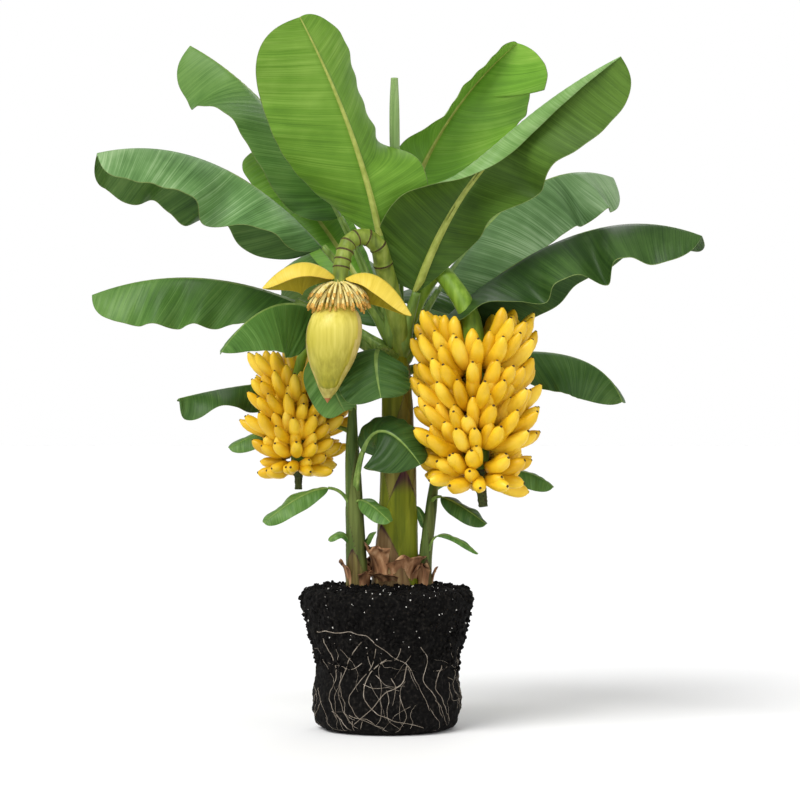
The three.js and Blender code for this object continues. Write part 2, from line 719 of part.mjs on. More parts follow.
// A hand: lower tiers hang out, higher tiers rise
function hand(bunch, tier, grow) {
  const share = tier / (bunch.tiers - 1);
  const centre = vector(bunch.foot).lerp(vector(bunch.top), share ** TIER_CROWDING);
  const fullness = Math.min(1, share / FULL_TIER_SHARE);
  const count = Math.round(lerp(bunch.fingers[0], bunch.fingers[1], fullness));
  const lift = share ** TIER_LIFT;
  const fingerSize = {
    length: lerp(bunch.length[0], bunch.length[1], fullness),
    thickness: bunch.thickness,
    elevations: [0, 1].map((end) => lerp(LOW_TIER_RISE[end], HIGH_TIER_RISE[end], lift)),
    sides: FINGER_SIDES,
    profile: FINGER_PROFILE,
  };
  const turn = (Math.PI * (tier % 2)) / count;
  return whorl(centre, count, turn, { radius: bunch.collar, height: COLLAR_HEIGHT }, fingerSize, grow);
}

function flowerFringe(grow) {
  const collarSize = { radius: FRINGE.collarRadius, height: FRINGE.collarHeight };
  return whorl(vector(FRINGE.centre), FRINGE.count, 0, collarSize, FRINGE, grow);
}

// The pieces in the order in which they hold their place: a later one is cut clear of the earlier
const pieces = [
  { name: "root_ball", colour: "soil", shape: rootBall },
  { name: "main_stem", colour: "stem", shape: (grow) => stem(MAIN_STEM, grow) },
  { name: "left_sucker", colour: "stem", shape: (grow) => stem(LEFT_SUCKER, grow) },
  { name: "right_sucker", colour: "stem", shape: (grow) => stem(RIGHT_SUCKER, grow) },
];

function addHookedStalk(name, stalk) {
  pieces.push({
    name: `${name}_rise`, colour: "stalk",
    shape: (grow) => limb(stalk, grow, 0, stalk.bend),
  });
  pieces.push({
    name: `${name}_fall`, colour: "stalk",
    shape: (grow) => limb(stalk, grow, stalk.bend, stalk.steps),
  });
}
addHookedStalk("flower_stalk", FLOWER_STALK);
addHookedStalk("right_bunch_stalk", RIGHT_BUNCH.stalk);
addHookedStalk("left_bunch_stalk", LEFT_BUNCH.stalk);
pieces.push({ name: "new_leaf_spear", colour: "stalk", shape: (grow) => limb(SPEAR, grow) });
pieces.push({ name: "flower_bud", colour: "flower", shape: (grow) => limb(BUD, grow) });
pieces.push({ name: "flower_fringe", colour: "flower", shape: flowerFringe });
for (const bunch of [RIGHT_BUNCH, LEFT_BUNCH]) {
  for (let tier = 0; tier < bunch.tiers; tier += 1) {
    pieces.push({
      name: `${bunch.side}_hand_${tier + 1}`, colour: "fruit",
      shape: (grow) => hand(bunch, tier, grow),
    });
  }
}
for (const leaf of [...BRACTS, ...LARGE_LEAVES]) {
  pieces.push({
    name: leaf.name, colour: leaf.colour ?? "leaf",
    shape: (grow) => leafSolid(leaf, leaf.steps ?? LARGE_LEAF, BLADE_SHAPE, grow),
  });
}
for (const leaf of [...SMALL_LEAVES, ...DRY_SHEATHS]) {
  pieces.push({
    name: leaf.name, colour: leaf.colour ?? "leaf",
    shape: (grow) => leafSolid(leaf, SMALL_LEAF, SMALL_BLADE_SHAPE, grow),
  });
}

function boxesMeet(one, other) {
  return [0, 1, 2].every((axis) => one.min[axis] < other.max[axis] && other.min[axis] < one.max[axis]);
}

function largestBody(solid) {
  const bodies = solid.decompose();
  return bodies.reduce((best, body) => (body.volume() > best.volume() ? body : best));
}

const plant = new THREE.Group();
const held = [];
for (const piece of pieces) {
  let solid = piece.shape(0);
  for (const earlier of held) {
    if (boxesMeet(solid.boundingBox(), earlier.boundingBox())) {
      solid = solid.subtract(earlier);
    }
  }
  solid = largestBody(solid);
  held.push(piece.shape(CLEARANCE));
  const material = new THREE.MeshStandardMaterial({
    color: COLOURS[piece.colour], roughness: ROUGHNESS, metalness: 0,
  });
  const mesh = new THREE.Mesh(geometryOf(solid), material);
  mesh.name = piece.name;
  plant.add(mesh);
}

export default plant;
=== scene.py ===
# Looks of a hardy banana plant in flower and fruit, standing on its own root ball.
# The tables are in millimetres in the model's frame: +Z up, the front of the plant towards -Y.

import math

import bpy
import numpy as np
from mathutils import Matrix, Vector, noise


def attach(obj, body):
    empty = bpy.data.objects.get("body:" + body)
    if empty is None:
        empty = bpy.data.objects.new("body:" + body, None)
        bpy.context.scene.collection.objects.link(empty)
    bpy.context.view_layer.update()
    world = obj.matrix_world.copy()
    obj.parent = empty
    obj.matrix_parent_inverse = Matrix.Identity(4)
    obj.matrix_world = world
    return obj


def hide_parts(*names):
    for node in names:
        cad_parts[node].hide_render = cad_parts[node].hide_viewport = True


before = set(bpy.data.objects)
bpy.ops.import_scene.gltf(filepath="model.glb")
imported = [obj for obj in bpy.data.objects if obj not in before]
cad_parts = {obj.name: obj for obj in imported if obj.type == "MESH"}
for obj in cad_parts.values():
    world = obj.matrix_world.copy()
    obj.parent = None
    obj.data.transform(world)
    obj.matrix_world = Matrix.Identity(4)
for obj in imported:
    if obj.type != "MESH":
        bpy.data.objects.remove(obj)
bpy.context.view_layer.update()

MM = 0.001
random = np.random.default_rng(11)

# The view: a level camera in front of the plant
CAMERA_PLACE = (32.5, -6500, 820)
CAMERA_LENS = 117.0
SENSOR_WIDTH = 36.0

# Leaf blades
BLADE_THICKNESS = 1.4
BLADE_SHAPE = (0.48, 2.3, 3.2)
SMALL_BLADE_SHAPE = (0.42, 2, 2.2)
STILL = (0, 1, 0)
STALK_TAPER = 0.62
STALK_FLARE, FLARE_STEEPNESS = 0.45, 5
STALK_ROWS = 14
HEEL_LENGTH, HEEL_WIDTH = 4, 0.15
RIB_POINTS = 240
RIB_STEPS = (0, 0.35, 0.7, 1)
RIB_WIDTH = 0.6
RIB_AT_TIP = 0.9
RIB_SHARE_OF_BLADE = 0.4
KEEL_DEPTH = 0.9
CHANNEL_DEPTH, CHANNEL_WIDTH = 0.4, 0.5
MARGIN_SHARE = 0.99
PLEAT_LENGTH = 23
PLEAT_HEIGHT = 0.8
VEIN_LEAN = 0.3
VEIN_UNIT = 0.01
LARGE_ROWS, LARGE_COLUMNS = 150, 12
SMALL_ROWS, SMALL_COLUMNS = 56, 8
UPPER, UNDER, RIB, STALK, MARGIN = range(5)

# Stems: points up the middle with a radius at each, and the sheaths wrapped round them. A sheath is the
# angle where it stands highest, its top there, how far it drops behind, how brown it is, and how far down
# its dry edge reaches.
MAIN_STEM = dict(
    path=((22, 0, 358, 54), (24, 0, 440, 49), (27, 0, 640, 44), (26, 0, 840, 41), (25, 0, 1000, 34)),
    sheaths=((222, 512, 420, 1, 12), (290, 652, 520, 0.05, 45), (196, 690, 700, 0.12, 5),
             (20, 720, 600, 0.7, 6), (318, 860, 500, 0.5, 6), (236, 930, 420, 0.15, 6),
             (272, 972, 260, 0.05, 9), (80, 1000, 330, 0.5, 5)),
    sides=160, thickness=2.4,
)
LEFT_SUCKER = dict(
    path=((-72, -28, 358, 27), (-78, -28, 480, 24), (-86, -26, 690, 19), (-84, -24, 845, 9)),
    sheaths=((250, 452, 300, 1, 8), (200, 560, 420, 0.1, 3), (310, 700, 420, 0.3, 4), (120, 860, 300, 0, 3)),
    sides=64, thickness=1.5,
)
RIGHT_SUCKER = dict(
    path=((94, -12, 358, 18), (97, -12, 430, 16.5), (112, -4, 570, 15), (122, 10, 660, 7)),
    sheaths=((280, 425, 200, 0.9, 6), (220, 540, 300, 0.1, 3), (330, 650, 260, 0.3, 3)),
    sides=48, thickness=1.3,
)
STEM_ROW_HEIGHT = 3.0
SHEATH_EDGE, SHEATH_DROP_POWER = 3.0, 1.4
THIN_STAIN, STAIN_SPREAD, STAIN_FADE = 4.0, 0.14, (0.3, 1.6)

CROWN_CENTRE = (25, 0)
CROWN_RADIUS = 22


def crown(angle, height):
    """A place in the top of the main stem, at an angle round it from +X."""
    turn = math.radians(angle)
    x, y = CROWN_CENTRE
    return (x + CROWN_RADIUS * math.cos(turn), y + CROWN_RADIUS * math.sin(turn), height)


def leaf(name, tint, foot, bend, tip, stalk, half, face, left, right, **more):
    """A leaf's rib runs from its foot, through a bend, to its tip. stalk is the bare share of the rib and
    its radius, half the width of the left and right half, and face where the upper side looks. left and
    right say how each half lies: its angle at the rib and at its margin, at shares of the blade.
    waves are the height, number and start of the waves of the left and the right margin, shapes the
    outline of each half, and sweep how far forward the veins of each half run."""
    given = dict(name=name, tint=tint, foot=foot, bend=bend, tip=tip, stalk=stalk, half=half, face=face)
    given.update(left=left, right=right, waves=(STILL, STILL), ripple=(2, 9), tears=())
    given.update(shapes=(BLADE_SHAPE, BLADE_SHAPE), sweep=(0.15, 0.15), thickness=BLADE_THICKNESS)
    given.update(more)
    return given


LARGE_LEAVES = [
    leaf("leaf_upright", "bright", crown(230, 985), (-3, -82, 1360), (-208, -260, 1739), (0.3, 15),
         (150, 186), (0.1, 1, 0.2),
         ((0, 10, 35), (0.2, 5, 20), (0.26, 14, 36), (0.33, 56, 82), (0.42, 64, 86), (0.6, 64, 86),
          (0.7, 58, 80), (0.8, 48, 70), (0.9, 42, 64), (1, 42, 64)),
         ((0.1, 30, 42), (0.2, 16, 28), (0.3, 8, 16), (0.45, 8, 10), (0.6, 8, 0), (1, 10, 0)),
         waves=(STILL, (8, 2.5, 0.5)), shapes=((0.45, 4, 2), (0.48, 2, 2.7)), sweep=(-0.06, 0.1)),
    leaf("leaf_left_high", "mid", crown(150, 980), (-188, 94, 1552), (-518, 320, 1749), (0.33, 13),
         (150, 110), (0, -0.7, 0.7),
         ((0.08, 0, -20), (0.22, 18, 4), (0.37, 28, 12), (0.52, 32, 16), (0.66, 14, -6), (0.8, -24, -50),
          (1, -20, -44)),
         ((0, -50, -80),), shapes=((0.5, 2.6, 2.8), (0.5, 2.3, 3)), sweep=(0.1, 0.15)),
    leaf("leaf_left_mid", "sheen", crown(197, 985), (-338, -82, 1518), (-703, -190, 1419), (0.3, 14),
         (160, 195), (0, -0.35, 0.93),
         ((0.05, -12, -36), (0.14, 0, -26), (0.3, -14, -38), (0.43, -38, -72), (0.52, -16, -42),
          (0.7, -10, -34), (0.9, -8, -30)),
         ((0.05, -58, -86), (0.16, -58, -86), (0.29, -42, -70), (0.37, -44, -72), (0.46, -64, -90),
          (0.56, -54, -80), (0.64, -44, -72), (0.78, -52, -80), (0.92, -42, -68)),
         ripple=(3, 8), shapes=(BLADE_SHAPE, (0.48, 3.5, 3.2))),
    leaf("leaf_left_low", "mid", crown(185, 940), (-400, 126, 1226), (-760, 190, 1090), (0.33, 16),
         (140, 110), (0, -0.3, 0.95),
         ((0.2, -28, -58), (0.31, -42, -72), (0.4, -28, -56), (0.52, -46, -74), (0.64, -28, -56),
          (0.73, -36, -64), (0.85, -28, -56), (1, -26, -54)),
         ((0, -30, -60),), waves=(STILL, (12, 4, 0.5)), ripple=(3, 9),
         shapes=((0.48, 2.3, 2.4), BLADE_SHAPE)),
    leaf("leaf_left_front", "mid", crown(222, 880), (-235, -73, 1208), (-391, -320, 934), (0.35, 14),
         (140, 80), (0, -0.3, 0.95),
         ((0.1, -55, -85), (0.4, -55, -85), (0.55, -42, -70), (0.7, -28, -56), (0.9, -12, -40)),
         ((0, -40, -60),), waves=((6, 2, 0.2), (8, 2, 0.6)), shapes=((0.25, 3, 1.5), (0.45, 2.3, 1.9))),
    leaf("leaf_back_left", "bright", crown(125, 965), (-176, 131, 1340), (-362, 400, 1476), (0.2, 12),
         (75, 85), (0, -0.8, 0.5), ((0, 0, -30),), ((0, 0, -30),), waves=((8, 2, 0), (8, 2, 0.4))),
    leaf("leaf_right_high", "bright", crown(50, 985), (-25, 67, 1416), (338, 290, 1752), (0.36, 14),
         (100, 165), (0.2, -1, 0.4),
         ((0.1, 10, 25), (0.22, 36, 56), (0.35, 66, 88), (0.6, 76, 98), (0.8, 72, 94), (1, 56, 78)),
         ((0.3, 0, -20), (0.6, 0, -22), (0.65, 8, -8), (1, 4, -10)), waves=((4, 2.5, 0.3), (5, 2.5, 0.7)),
         shapes=((0.35, 3, 1.6), (0.5, 2.3, 1.7)), sweep=(0, 0.8), tears=((-1, 0.66, 0.2, 0.14),)),
    leaf("leaf_right_big", "rolled", crown(318, 965), (138, -123, 1431), (556, -340, 1634), (0.14, 18),
         (150, 145), (0, 1, 0.5),
         ((0.18, -10, -30), (0.36, -40, -70), (0.47, -10, -40), (0.59, -38, -66), (0.77, -25, -52),
          (1, -20, -45)),
         ((0.1, 20, 6), (0.28, 0, -35), (0.4, -8, -110), (0.55, -22, -175), (0.8, -36, -190),
          (1, -36, -190)), shapes=((0.5, 1.3, 3), (0.2, 3, 1.1)), sweep=(0.15, 0.05)),
    leaf("leaf_right_back", "painted_grey_sheen", crown(30, 945), (318, 144, 1484), (599, 420, 1412), (0.2, 12),
         (110, 150), (0, -0.5, 0.87), ((0, -40, -70),),
         ((0.3, -15, -45), (0.5, -28, -56), (0.62, -24, -50), (0.72, -36, -64), (0.79, -12, -38),
          (0.88, -22, -48), (1, -20, -46)), ripple=(3, 9), shapes=((0.48, 2.6, 2), (0.48, 2.6, 3.4)),
         sweep=(0, 0.05)),
    leaf("leaf_right_mid", "dark", crown(0, 930), (450, -65, 1356), (765, -190, 1218), (0.12, 14),
         (160, 165), (0, -0.35, 0.93),
         ((0.2, -74, -98), (0.36, -70, -94), (0.44, -52, -78), (0.55, -45, -75), (0.68, -30, -60),
          (1, -30, -60)),
         ((0.12, 10, 0), (0.2, 10, -8), (0.27, -2, -28), (0.35, -16, -48), (0.42, -5, -34), (0.47, -4, -32),
          (0.54, -10, -38), (0.62, -32, -62), (0.69, -5, -32), (0.75, -4, -30), (0.84, -16, -42),
          (1, -12, -38)),
         ripple=(3, 8), shapes=((0.45, 2.6, 3), (0.45, 2.6, 2.6))),
    leaf("leaf_right_low", "deep", crown(60, 890), (534, 240, 1030), (598, 120, 815), (0.42, 11),
         (110, 125), (0, -0.3, 0.95), ((0, -30, -60),), ((0, -20, -60),), waves=((8, 2, 0.1), (8, 2, 0.5)),
         shapes=((0.35, 2.3, 1.8), (0.35, 2.3, 1.8))),
    leaf("leaf_front_high", "deep", crown(255, 930), (-50, -150, 1000), (-14, -165, 825), (0.42, 10),
         (86, 98), (0, -1, 0.9), ((0, -5, -30),), ((0, -5, -30),), waves=((5, 1.5, 0), (5, 1.5, 0.4))),
    leaf("leaf_front_low", "dark", (-81, -24, 560), (-60, -140, 866), (82, -160, 662), (0.4, 10), (60, 108),
         (0, -1, 0.7), ((0, -5, -30),), ((0, -5, -24),), waves=((4, 1.5, 0.5), (2, 1.5, 0.9)),
         shapes=((0.5, 2.4, 2.4), (0.52, 2, 2.4)), sweep=(0.15, -0.1)),
    leaf("leaf_below_bud", "mid", (-85, -26, 800), (-190, -150, 962), (-104, -125, 792), (0.3, 8), (58, 62),
         (0, -1, 0.2), ((0, -2, -8),), ((0, -2, -8),), waves=((3, 1.5, 0.2), (3, 1.5, 0.6))),
    leaf("leaf_back", "deep", crown(85, 965), (120, 260, 1240), (240, 540, 1010), (0.26, 14), (135, 135),
         (0, -0.5, 0.85), ((0, -5, -45),), ((0, -5, -45),),
         waves=((12, 2.5, 0.2), (12, 2.5, 0.6)), ripple=(5, 8)),
    leaf("leaf_back_low", "mid", crown(110, 915), (-130, 270, 1430), (-240, 480, 1080), (0.15, 12),
         (130, 130), (0, 0, 1), ((0, -10, -45),), ((0, -10, -45),), waves=((10, 2.5, 0.6), (10, 2.5, 0))),
]
SMALL_MORE = dict(ripple=(0, 1), shapes=(SMALL_BLADE_SHAPE, SMALL_BLADE_SHAPE), thickness=1)


def small_leaf(name, tint, foot, bend, tip, stalk, width, face, fold, wave):
    """A small leaf with two like halves."""
    lie = ((0, *fold),)
    waves = ((wave, 2, 0), (wave, 2, 0.4))
    return leaf(f"small_leaf_{name}", tint, foot, bend, tip, stalk, (width, width), face, lie, lie,
                waves=waves, **SMALL_MORE)


SMALL_LEAVES = [
    leaf("small_leaf_left_high", "deep", crown(135, 850), (-250, 300, 900), (-525, 60, 824), (0.35, 7),
         (74, 40), (0, -0.4, 0.9),
         ((0.3, -45, -75), (0.45, -50, -70), (0.62, -10, -30), (0.85, -10, -32), (0.97, -55, -80)),
         ((0, -30, -60),), ripple=(0, 1), shapes=((0.45, 2, 5), (0.45, 2, 3)), thickness=1),
    small_leaf("left_mid", "mid", (-87, -18, 740), (-230, 120, 800), (-400, 80, 698), (0.4, 6),
               45, (0, -0.5, 0.85), (-10, -40), 4),
    small_leaf("left_low", "mid", (-85, -28, 530), (-112, -52, 680), (-302, -110, 518), (0.36, 6),
               38, (0, -0.5, 0.85), (-10, -40), 5),
    small_leaf("left_front", "mid", (-80, -30, 535), (-88, -50, 616), (8, -110, 520), (0.3, 5),
               32, (0.2, -0.8, 0.8), (-10, -30), 3),
    small_leaf("left_foot", "mid", (-82, -30, 425), (-96, -50, 522), (-143, -70, 471), (0.35, 4),
               14, (0, -0.6, 0.8), (-10, -30), 1),
    small_leaf("gap", "mid", (-58, -25, 425), (-52, -28, 486), (-27, -40, 492), (0.35, 4), 10,
               (0, -0.6, 0.8), (-10, -30), 1),
    small_leaf("right_high", "mid", (119, 4, 600), (322, 90, 690), (419, 60, 600), (0.5, 6), 44,
               (0, -0.5, 0.85), (-20, -50), 4),
    small_leaf("right_low", "deep", (111, -8, 560), (116, -45, 616), (245, -90, 514), (0.25, 6),
               36, (0, -0.5, 0.85), (-15, -40), 4),
    small_leaf("right_gap", "mid", (100, -10, 470), (86, -10, 556), (67, -10, 550), (0.3, 4), 12,
               (0, -0.8, 0.5), (-10, -30), 1),
    small_leaf("right_foot", "mid", (103, -15, 410), (100, -42, 546), (226, -60, 439), (0.4, 4),
               13, (0, -0.5, 0.85), (-15, -40), 2),
]
BRACT_NEAR, BRACT_FAR = ((0, -10, -55),), ((0, -70, -100),)
BRACT_SHAPES = (0.45, 1.8, 1.6), (0.5, 1.5, 1.4)
BRACT_MORE = dict(ripple=(0, 1), sweep=(0, 0), thickness=4)
BRACTS = [
    leaf("bract_left", "bract", (-112, -178, 1108), (-206, -204, 1208), (-300, -212, 1090), (0.06, 12),
         (48, 86), (0, -0.3, 0.95), BRACT_NEAR, BRACT_FAR, shapes=BRACT_SHAPES, **BRACT_MORE),
    leaf("bract_right", "bract", (-112, -180, 1108), (-20, -208, 1176), (60, -216, 1024), (0.06, 12),
         (78, 50), (0, -0.3, 0.95), BRACT_FAR, BRACT_NEAR, shapes=BRACT_SHAPES[::-1], **BRACT_MORE),
]

# Dry sheaths stand torn round the foot of a stem: the angle they face, their spread at the foot and at
# the top, their height and how far they curl out
DRY_SHEATHS = {
    "dry_sheath_front": dict(stem=MAIN_STEM, flaps=(
        (220, 50, 84, 112, 34), (250, 44, 50, 40, 44), (298, 66, 92, 82, 28), (336, 44, 64, 56, 20),
        (30, 46, 70, 84, 24), (90, 50, 80, 100, 26), (150, 46, 70, 76, 22), (192, 36, 50, 52, 20))),
    "dry_sheath_left": dict(stem=LEFT_SUCKER, flaps=(
        (205, 60, 74, 66, 16), (310, 60, 80, 44, 12), (80, 70, 100, 60, 14))),
    "dry_sheath_right": dict(stem=RIGHT_SUCKER, flaps=(
        (255, 80, 90, 60, 8), (10, 70, 80, 46, 12), (120, 80, 100, 56, 12))),
}
FLAP_ROWS, FLAP_COLUMNS = 26, 22
FLAP_THICKNESS, FLAP_GAP, FLAP_SINK = 1.2, 1.5, 4
FLAP_SHOULDER, FLAP_BEND, FLAP_CURL_POWER = 0.22, 1.35, 2.2
RAGGED_WAVES, RAGGED_HEIGHTS = (2, 4, 9), (0.02, 0.08)
RUMPLE_WAVES, RUMPLE_HEIGHTS, RUMPLE_LEAN = (3, 7, 12), (0.6, 1.6), 5
WAVE_STARTS = (0, 6)

# Stalks: points along the middle with a radius at each
FLOWER_STALK = (
    (27, -6, 900, 14), (*crown(290, 980), 24), (14, -48, 1070, 24), (-8, -86, 1150, 23),
    (-22, -112, 1198, 21), (-56, -130, 1220, 20), (-90, -148, 1206, 20), (-106, -165, 1166, 20),
    (-116, -178, 1095, 19), (-120, -180, 1062, 18),
)
FLOWER_RINGS = (0.486, 0.572, 0.64, 0.692, 0.739, 0.782, 0.82, 0.855)
RING_WIDTH, RING_SWELL, RING_GROOVE = 0.0035, 0.12, 0.09
FLOWER_STALK_ROWS, FLOWER_STALK_SIDES = 260, 28
SPEAR = ((24, 8, 980, 10), (22, 14, 1230, 10), (20, 16, 1440, 13), (19, 16, 1560, 13), (19, 15, 1627, 10))
SPEAR_TURNS, SPEAR_INSIDE, SPEAR_SEAM = 1.4, 0.84, 0.18
SPEAR_ROWS, SPEAR_SIDES = 140, 36

# The bud: its outline from top to tip, and the angle, end and slant of each bract wrapped round it
BUD_TOP, BUD_TIP = (-120, -180, 1062), (-144, -187, 813)
BUD_RADII = (26, 56, 67, 68, 63, 53, 38, 23, 3)
BUD_BRACTS = ((262, 0.86, 0.1), (30, 0.93, 0.05), (150, 0.97, 0.04))
BUD_BRACT_THICKNESS, BUD_BRACT_EDGE = 1.6, 0.015
BUD_BRACT_REACH, BUD_BRACT_FALL = 0.3, 9
BUD_POINT_START, BUD_LEAST_RADIUS = 0.95, 1.2
BUD_ROWS, BUD_SIDES = 170, 72

# The fringe of flowers: number, length, elevations and rise of each row
FRINGE_PLACE, FRINGE_RADIUS = (-117, -179, 1094), 10
FRINGE_ROWS = ((30, 82, (-22, -76), 0), (34, 90, (-12, -72), 6), (30, 80, (-2, -62), 12))
FLORET_THICKNESS, FLORET_RIDGE = 7.0, 0.12
FLORET_SIDES, FLORET_TIP_ROWS = 8, 2
FLORET_TURN_JITTER, FLORET_LEAN_JITTER, FLORET_LENGTHS = 0.03, 3, (0.9, 1.06)
FLORET_PROFILE = ((0, 0.6), (0.2, 0.8), (0.5, 0.85), (0.76, 0.9), (0.86, 0.8), (0.93, 0.95), (1, 0.5))

# Bunches of fruit: hands of fingers in tiers down a hanging stalk
RIGHT_BUNCH = dict(
    side="right",
    stalk=((30, -3, 905, 9), (*crown(345, 985), 17), (88, -14, 1090, 20), (126, -34, 1138, 22),
           (170, -66, 1092, 24), (206, -92, 1020, 25), (217, -100, 945, 26), (228, -100, 660, 24),
           (231, -100, 612, 14), (238, -100, 557, 11)),
    top=(212, -100, 942), foot=(222, -100, 634), tiers=8, fingers=(12, 17), length=(102, 146),
    thickness=36, collar=40,
)
LEFT_BUNCH = dict(
    side="left",
    stalk=((*crown(165, 890), 11), (-60, 16, 958, 11), (-140, 24, 984, 11), (-204, 38, 946, 11),
           (-223, 40, 880, 15), (-223, 40, 700, 20), (-223, 40, 650, 17), (-223, 40, 625, 10),
           (-223, 40, 595, 9)),
    top=(-226, 40, 872), foot=(-226, 40, 658), tiers=6, fingers=(11, 16), length=(78, 118),
    thickness=30, collar=28,
)
TIER_CROWDING, FULL_TIER_SHARE, TIER_LIFT = 1.15, 0.35, 0.42
LOW_TIER_RISE, HIGH_TIER_RISE = (-24, 2), (6, 72)
INNER_ROW_SHARE, INNER_ROW_RISE, INNER_ROW_LENGTH = 0.8, 20, 0.8
FRONT, STALK_GAP = math.radians(270), 0.5
FINGER_SIDES = 12
FINGER_PROFILE = (
    (0, 0.36), (0.06, 0.42), (0.13, 0.66), (0.22, 0.9), (0.34, 1), (0.5, 1.02), (0.64, 1), (0.76, 0.93),
    (0.86, 0.76), (0.92, 0.54), (0.96, 0.33), (0.985, 0.21), (1, 0.14),
)
FINGER_NECK_ROWS, FINGER_TIP_ROWS = 2, 1
FINGER_RIDGE, FINGER_RIDGES = 0.045, 5
FINGER_STEPS = 40
FINGER_TURN_JITTER, FINGER_HEIGHT_JITTER, FINGER_RISE_JITTER = 0.05, 8, 6
FINGER_LENGTHS, FINGER_WIDTHS = (0.84, 1.08), (0.9, 1.06)
BUNCH_STALK_ROWS, BUNCH_STALK_SIDES = 200, 20
STUB_START, STUB_ROUGHNESS = 0.89, 0.07

# The root ball: radius and height of its outline, and the size and height of its lumps
ROOT_BALL = (
    (144, 0), (166, 7), (178, 26), (184, 84), (178, 160), (192, 232), (206, 290), (214, 330),
    (206, 345), (132, 354), (8, 357),
)
SOIL_SIDES, SOIL_ROWS = 380, 210
SOIL_LUMPS = ((45, 5), (20, 4.5), (8, 2.2))
SOIL_SIDE_HEIGHT, FLAT_FOOT_HEIGHT = 330, 20
CRUMBS, GRAINS, LOOSE_ROOTS = 3000, 260, 130
CRUMB_SIZES, CRUMB_SHARES = (1.2, 7), (0.3, 0.97)
GRAIN_SIZES, GRAIN_LIFT = (0.6, 1.9), 1.5
GRAIN_START, GRAIN_SPAN, GRAIN_CROWDING = 0.3, 0.65, 0.6
LUMP_SIDES, LUMP_HEIGHTS = 6, (-0.95, -0.6, 0.1, 0.7, 0.97)
LUMP_UNEVENNESS, LUMP_STRETCH = (0.7, 1.3), (0.7, 1.2)

# Long roots on the front of the root ball: angle round it and height of each point
LONG_ROOTS = (
    ((207, 253), (232, 253), (254, 248), (263, 222), (274, 197), (287, 171), (294, 134), (300, 96),
     (305, 64)),
    ((252, 232), (243, 200), (236, 160), (230, 110), (234, 60), (246, 22)),
    ((262, 214), (258, 170), (247, 130), (240, 84), (252, 40), (268, 16)),
    ((270, 188), (256, 150), (252, 100), (262, 60), (280, 36), (300, 20)),
    ((286, 172), (282, 130), (268, 104), (258, 66), (244, 34)),
    ((296, 220), (304, 180), (300, 140), (310, 90), (318, 40)),
    ((214, 236), (222, 190), (226, 140), (220, 90), (228, 40)),
    ((318, 170), (312, 120), (320, 70), (330, 30)),
)
ROOT_WANDER, WANDER_LENGTH = 6, 40
ROOT_SIDES, ROOT_STEPS = 6, 10
ROOT_LIFT, ROOT_TAPER, LOWEST_ROOT = 0.6, 0.45, 8
MM_FOR_DEGREE = 3.5
LONG_ROOT_RADII, LOOSE_ROOT_RADII = (0.8, 1.3), (0.35, 0.8)

# Loose roots: the height they start at, their heading, bends and steps round and up the root ball
LOOSE_HEIGHTS, LOOSE_HEADINGS, LOOSE_BENDS = (30, 240), (-2.6, -0.5), (3, 7)
LOOSE_BEND, LOOSE_DEGREES, LOOSE_STRETCH = 0.4, 7, (0.7, 1.3)
LOOSE_RISE, LOWEST_LOOSE_ROOT = 24, 10


def srgb(text):
    """A colour written as rrggbb, as linear values with full cover."""
    shares = [int(text[place:place + 2], 16) / 255 for place in (0, 2, 4)]
    return [((x + 0.055) / 1.055) ** 2.4 if x > 0.04045 else x / 12.92 for x in shares] + [1]


EVEN_PLACES = {2: (0.3, 0.7), 3: (0.3, 0.5, 0.7)}


def shades(colours, *places):
    """Colours written one after the other, each at its place on a ramp."""
    names = colours.split()
    return tuple(zip(places or EVEN_PLACES[len(names)], names))


# Shader nodes
def add(tree, kind, inputs=None, **settings):
    """A new node. inputs gives each socket a value, or links it to another node's output."""
    made = tree.nodes.new("ShaderNode" + kind)
    for key, value in settings.items():
        setattr(made, key, value)
    for key, value in (inputs or {}).items():
        if isinstance(value, bpy.types.NodeSocket):
            tree.links.new(value, made.inputs[key])
        else:
            made.inputs[key].default_value = value
    return made


def maths(tree, operation, *values):
    return add(tree, "Math", dict(enumerate(values)), operation=operation).outputs[0]


def ramp(tree, factor, stops):
    """Colours at places from 0 to 1, read by a factor."""
    made = add(tree, "ValToRGB", {"Fac": factor})
    points = made.color_ramp.elements
    while len(points) < len(stops):
        points.new(0.5)
    for point, (place, colour) in zip(points, stops):
        point.position = place
        point.color = srgb(colour)
    return made.outputs["Color"]


def mix(tree, factor, one, other):
    """One colour where the factor is 0 and the other where it is 1."""
    return add(tree, "MixRGB", {"Fac": factor, "Color1": one, "Color2": other}).outputs["Color"]


def start_material(name, roughness, specular):
    made = bpy.data.materials.new(name)
    made.use_nodes = True
    shader = made.node_tree.nodes["Principled BSDF"]
    shader.inputs["Roughness"].default_value = roughness
    shader.inputs["Specular IOR Level"].default_value = specular
    return made, made.node_tree, shader


def colour_and_bump(tree, shader, colour, height, strength, depth):
    bump = add(tree, "Bump", {"Height": height, "Strength": strength, "Distance": depth * MM})
    tree.links.new(colour, shader.inputs["Base Color"])
    tree.links.new(bump.outputs["Normal"], shader.inputs["Normal"])


def stretched_noise(tree, scale, detail=4.0):
    """Noise in the model's frame. scale is one number, or one for each axis."""
    scale = [float(each) for each in np.broadcast_to(scale, 3)]
    place = add(tree, "TexCoord").outputs["Object"]
    stretched = add(tree, "Mapping", {"Vector": place, "Scale": scale}).outputs["Vector"]
    return add(tree, "TexNoise", {"Vector": stretched, "Scale": 1.0, "Detail": detail}).outputs["Fac"]


def own_place(tree):
    """What each point of a mesh carries: its place on a leaf or a bud, or the stains of a sheath."""
    carried = add(tree, "Attribute", attribute_name="place").outputs["Vector"]
    return add(tree, "SeparateXYZ", {"Vector": carried}).outputs


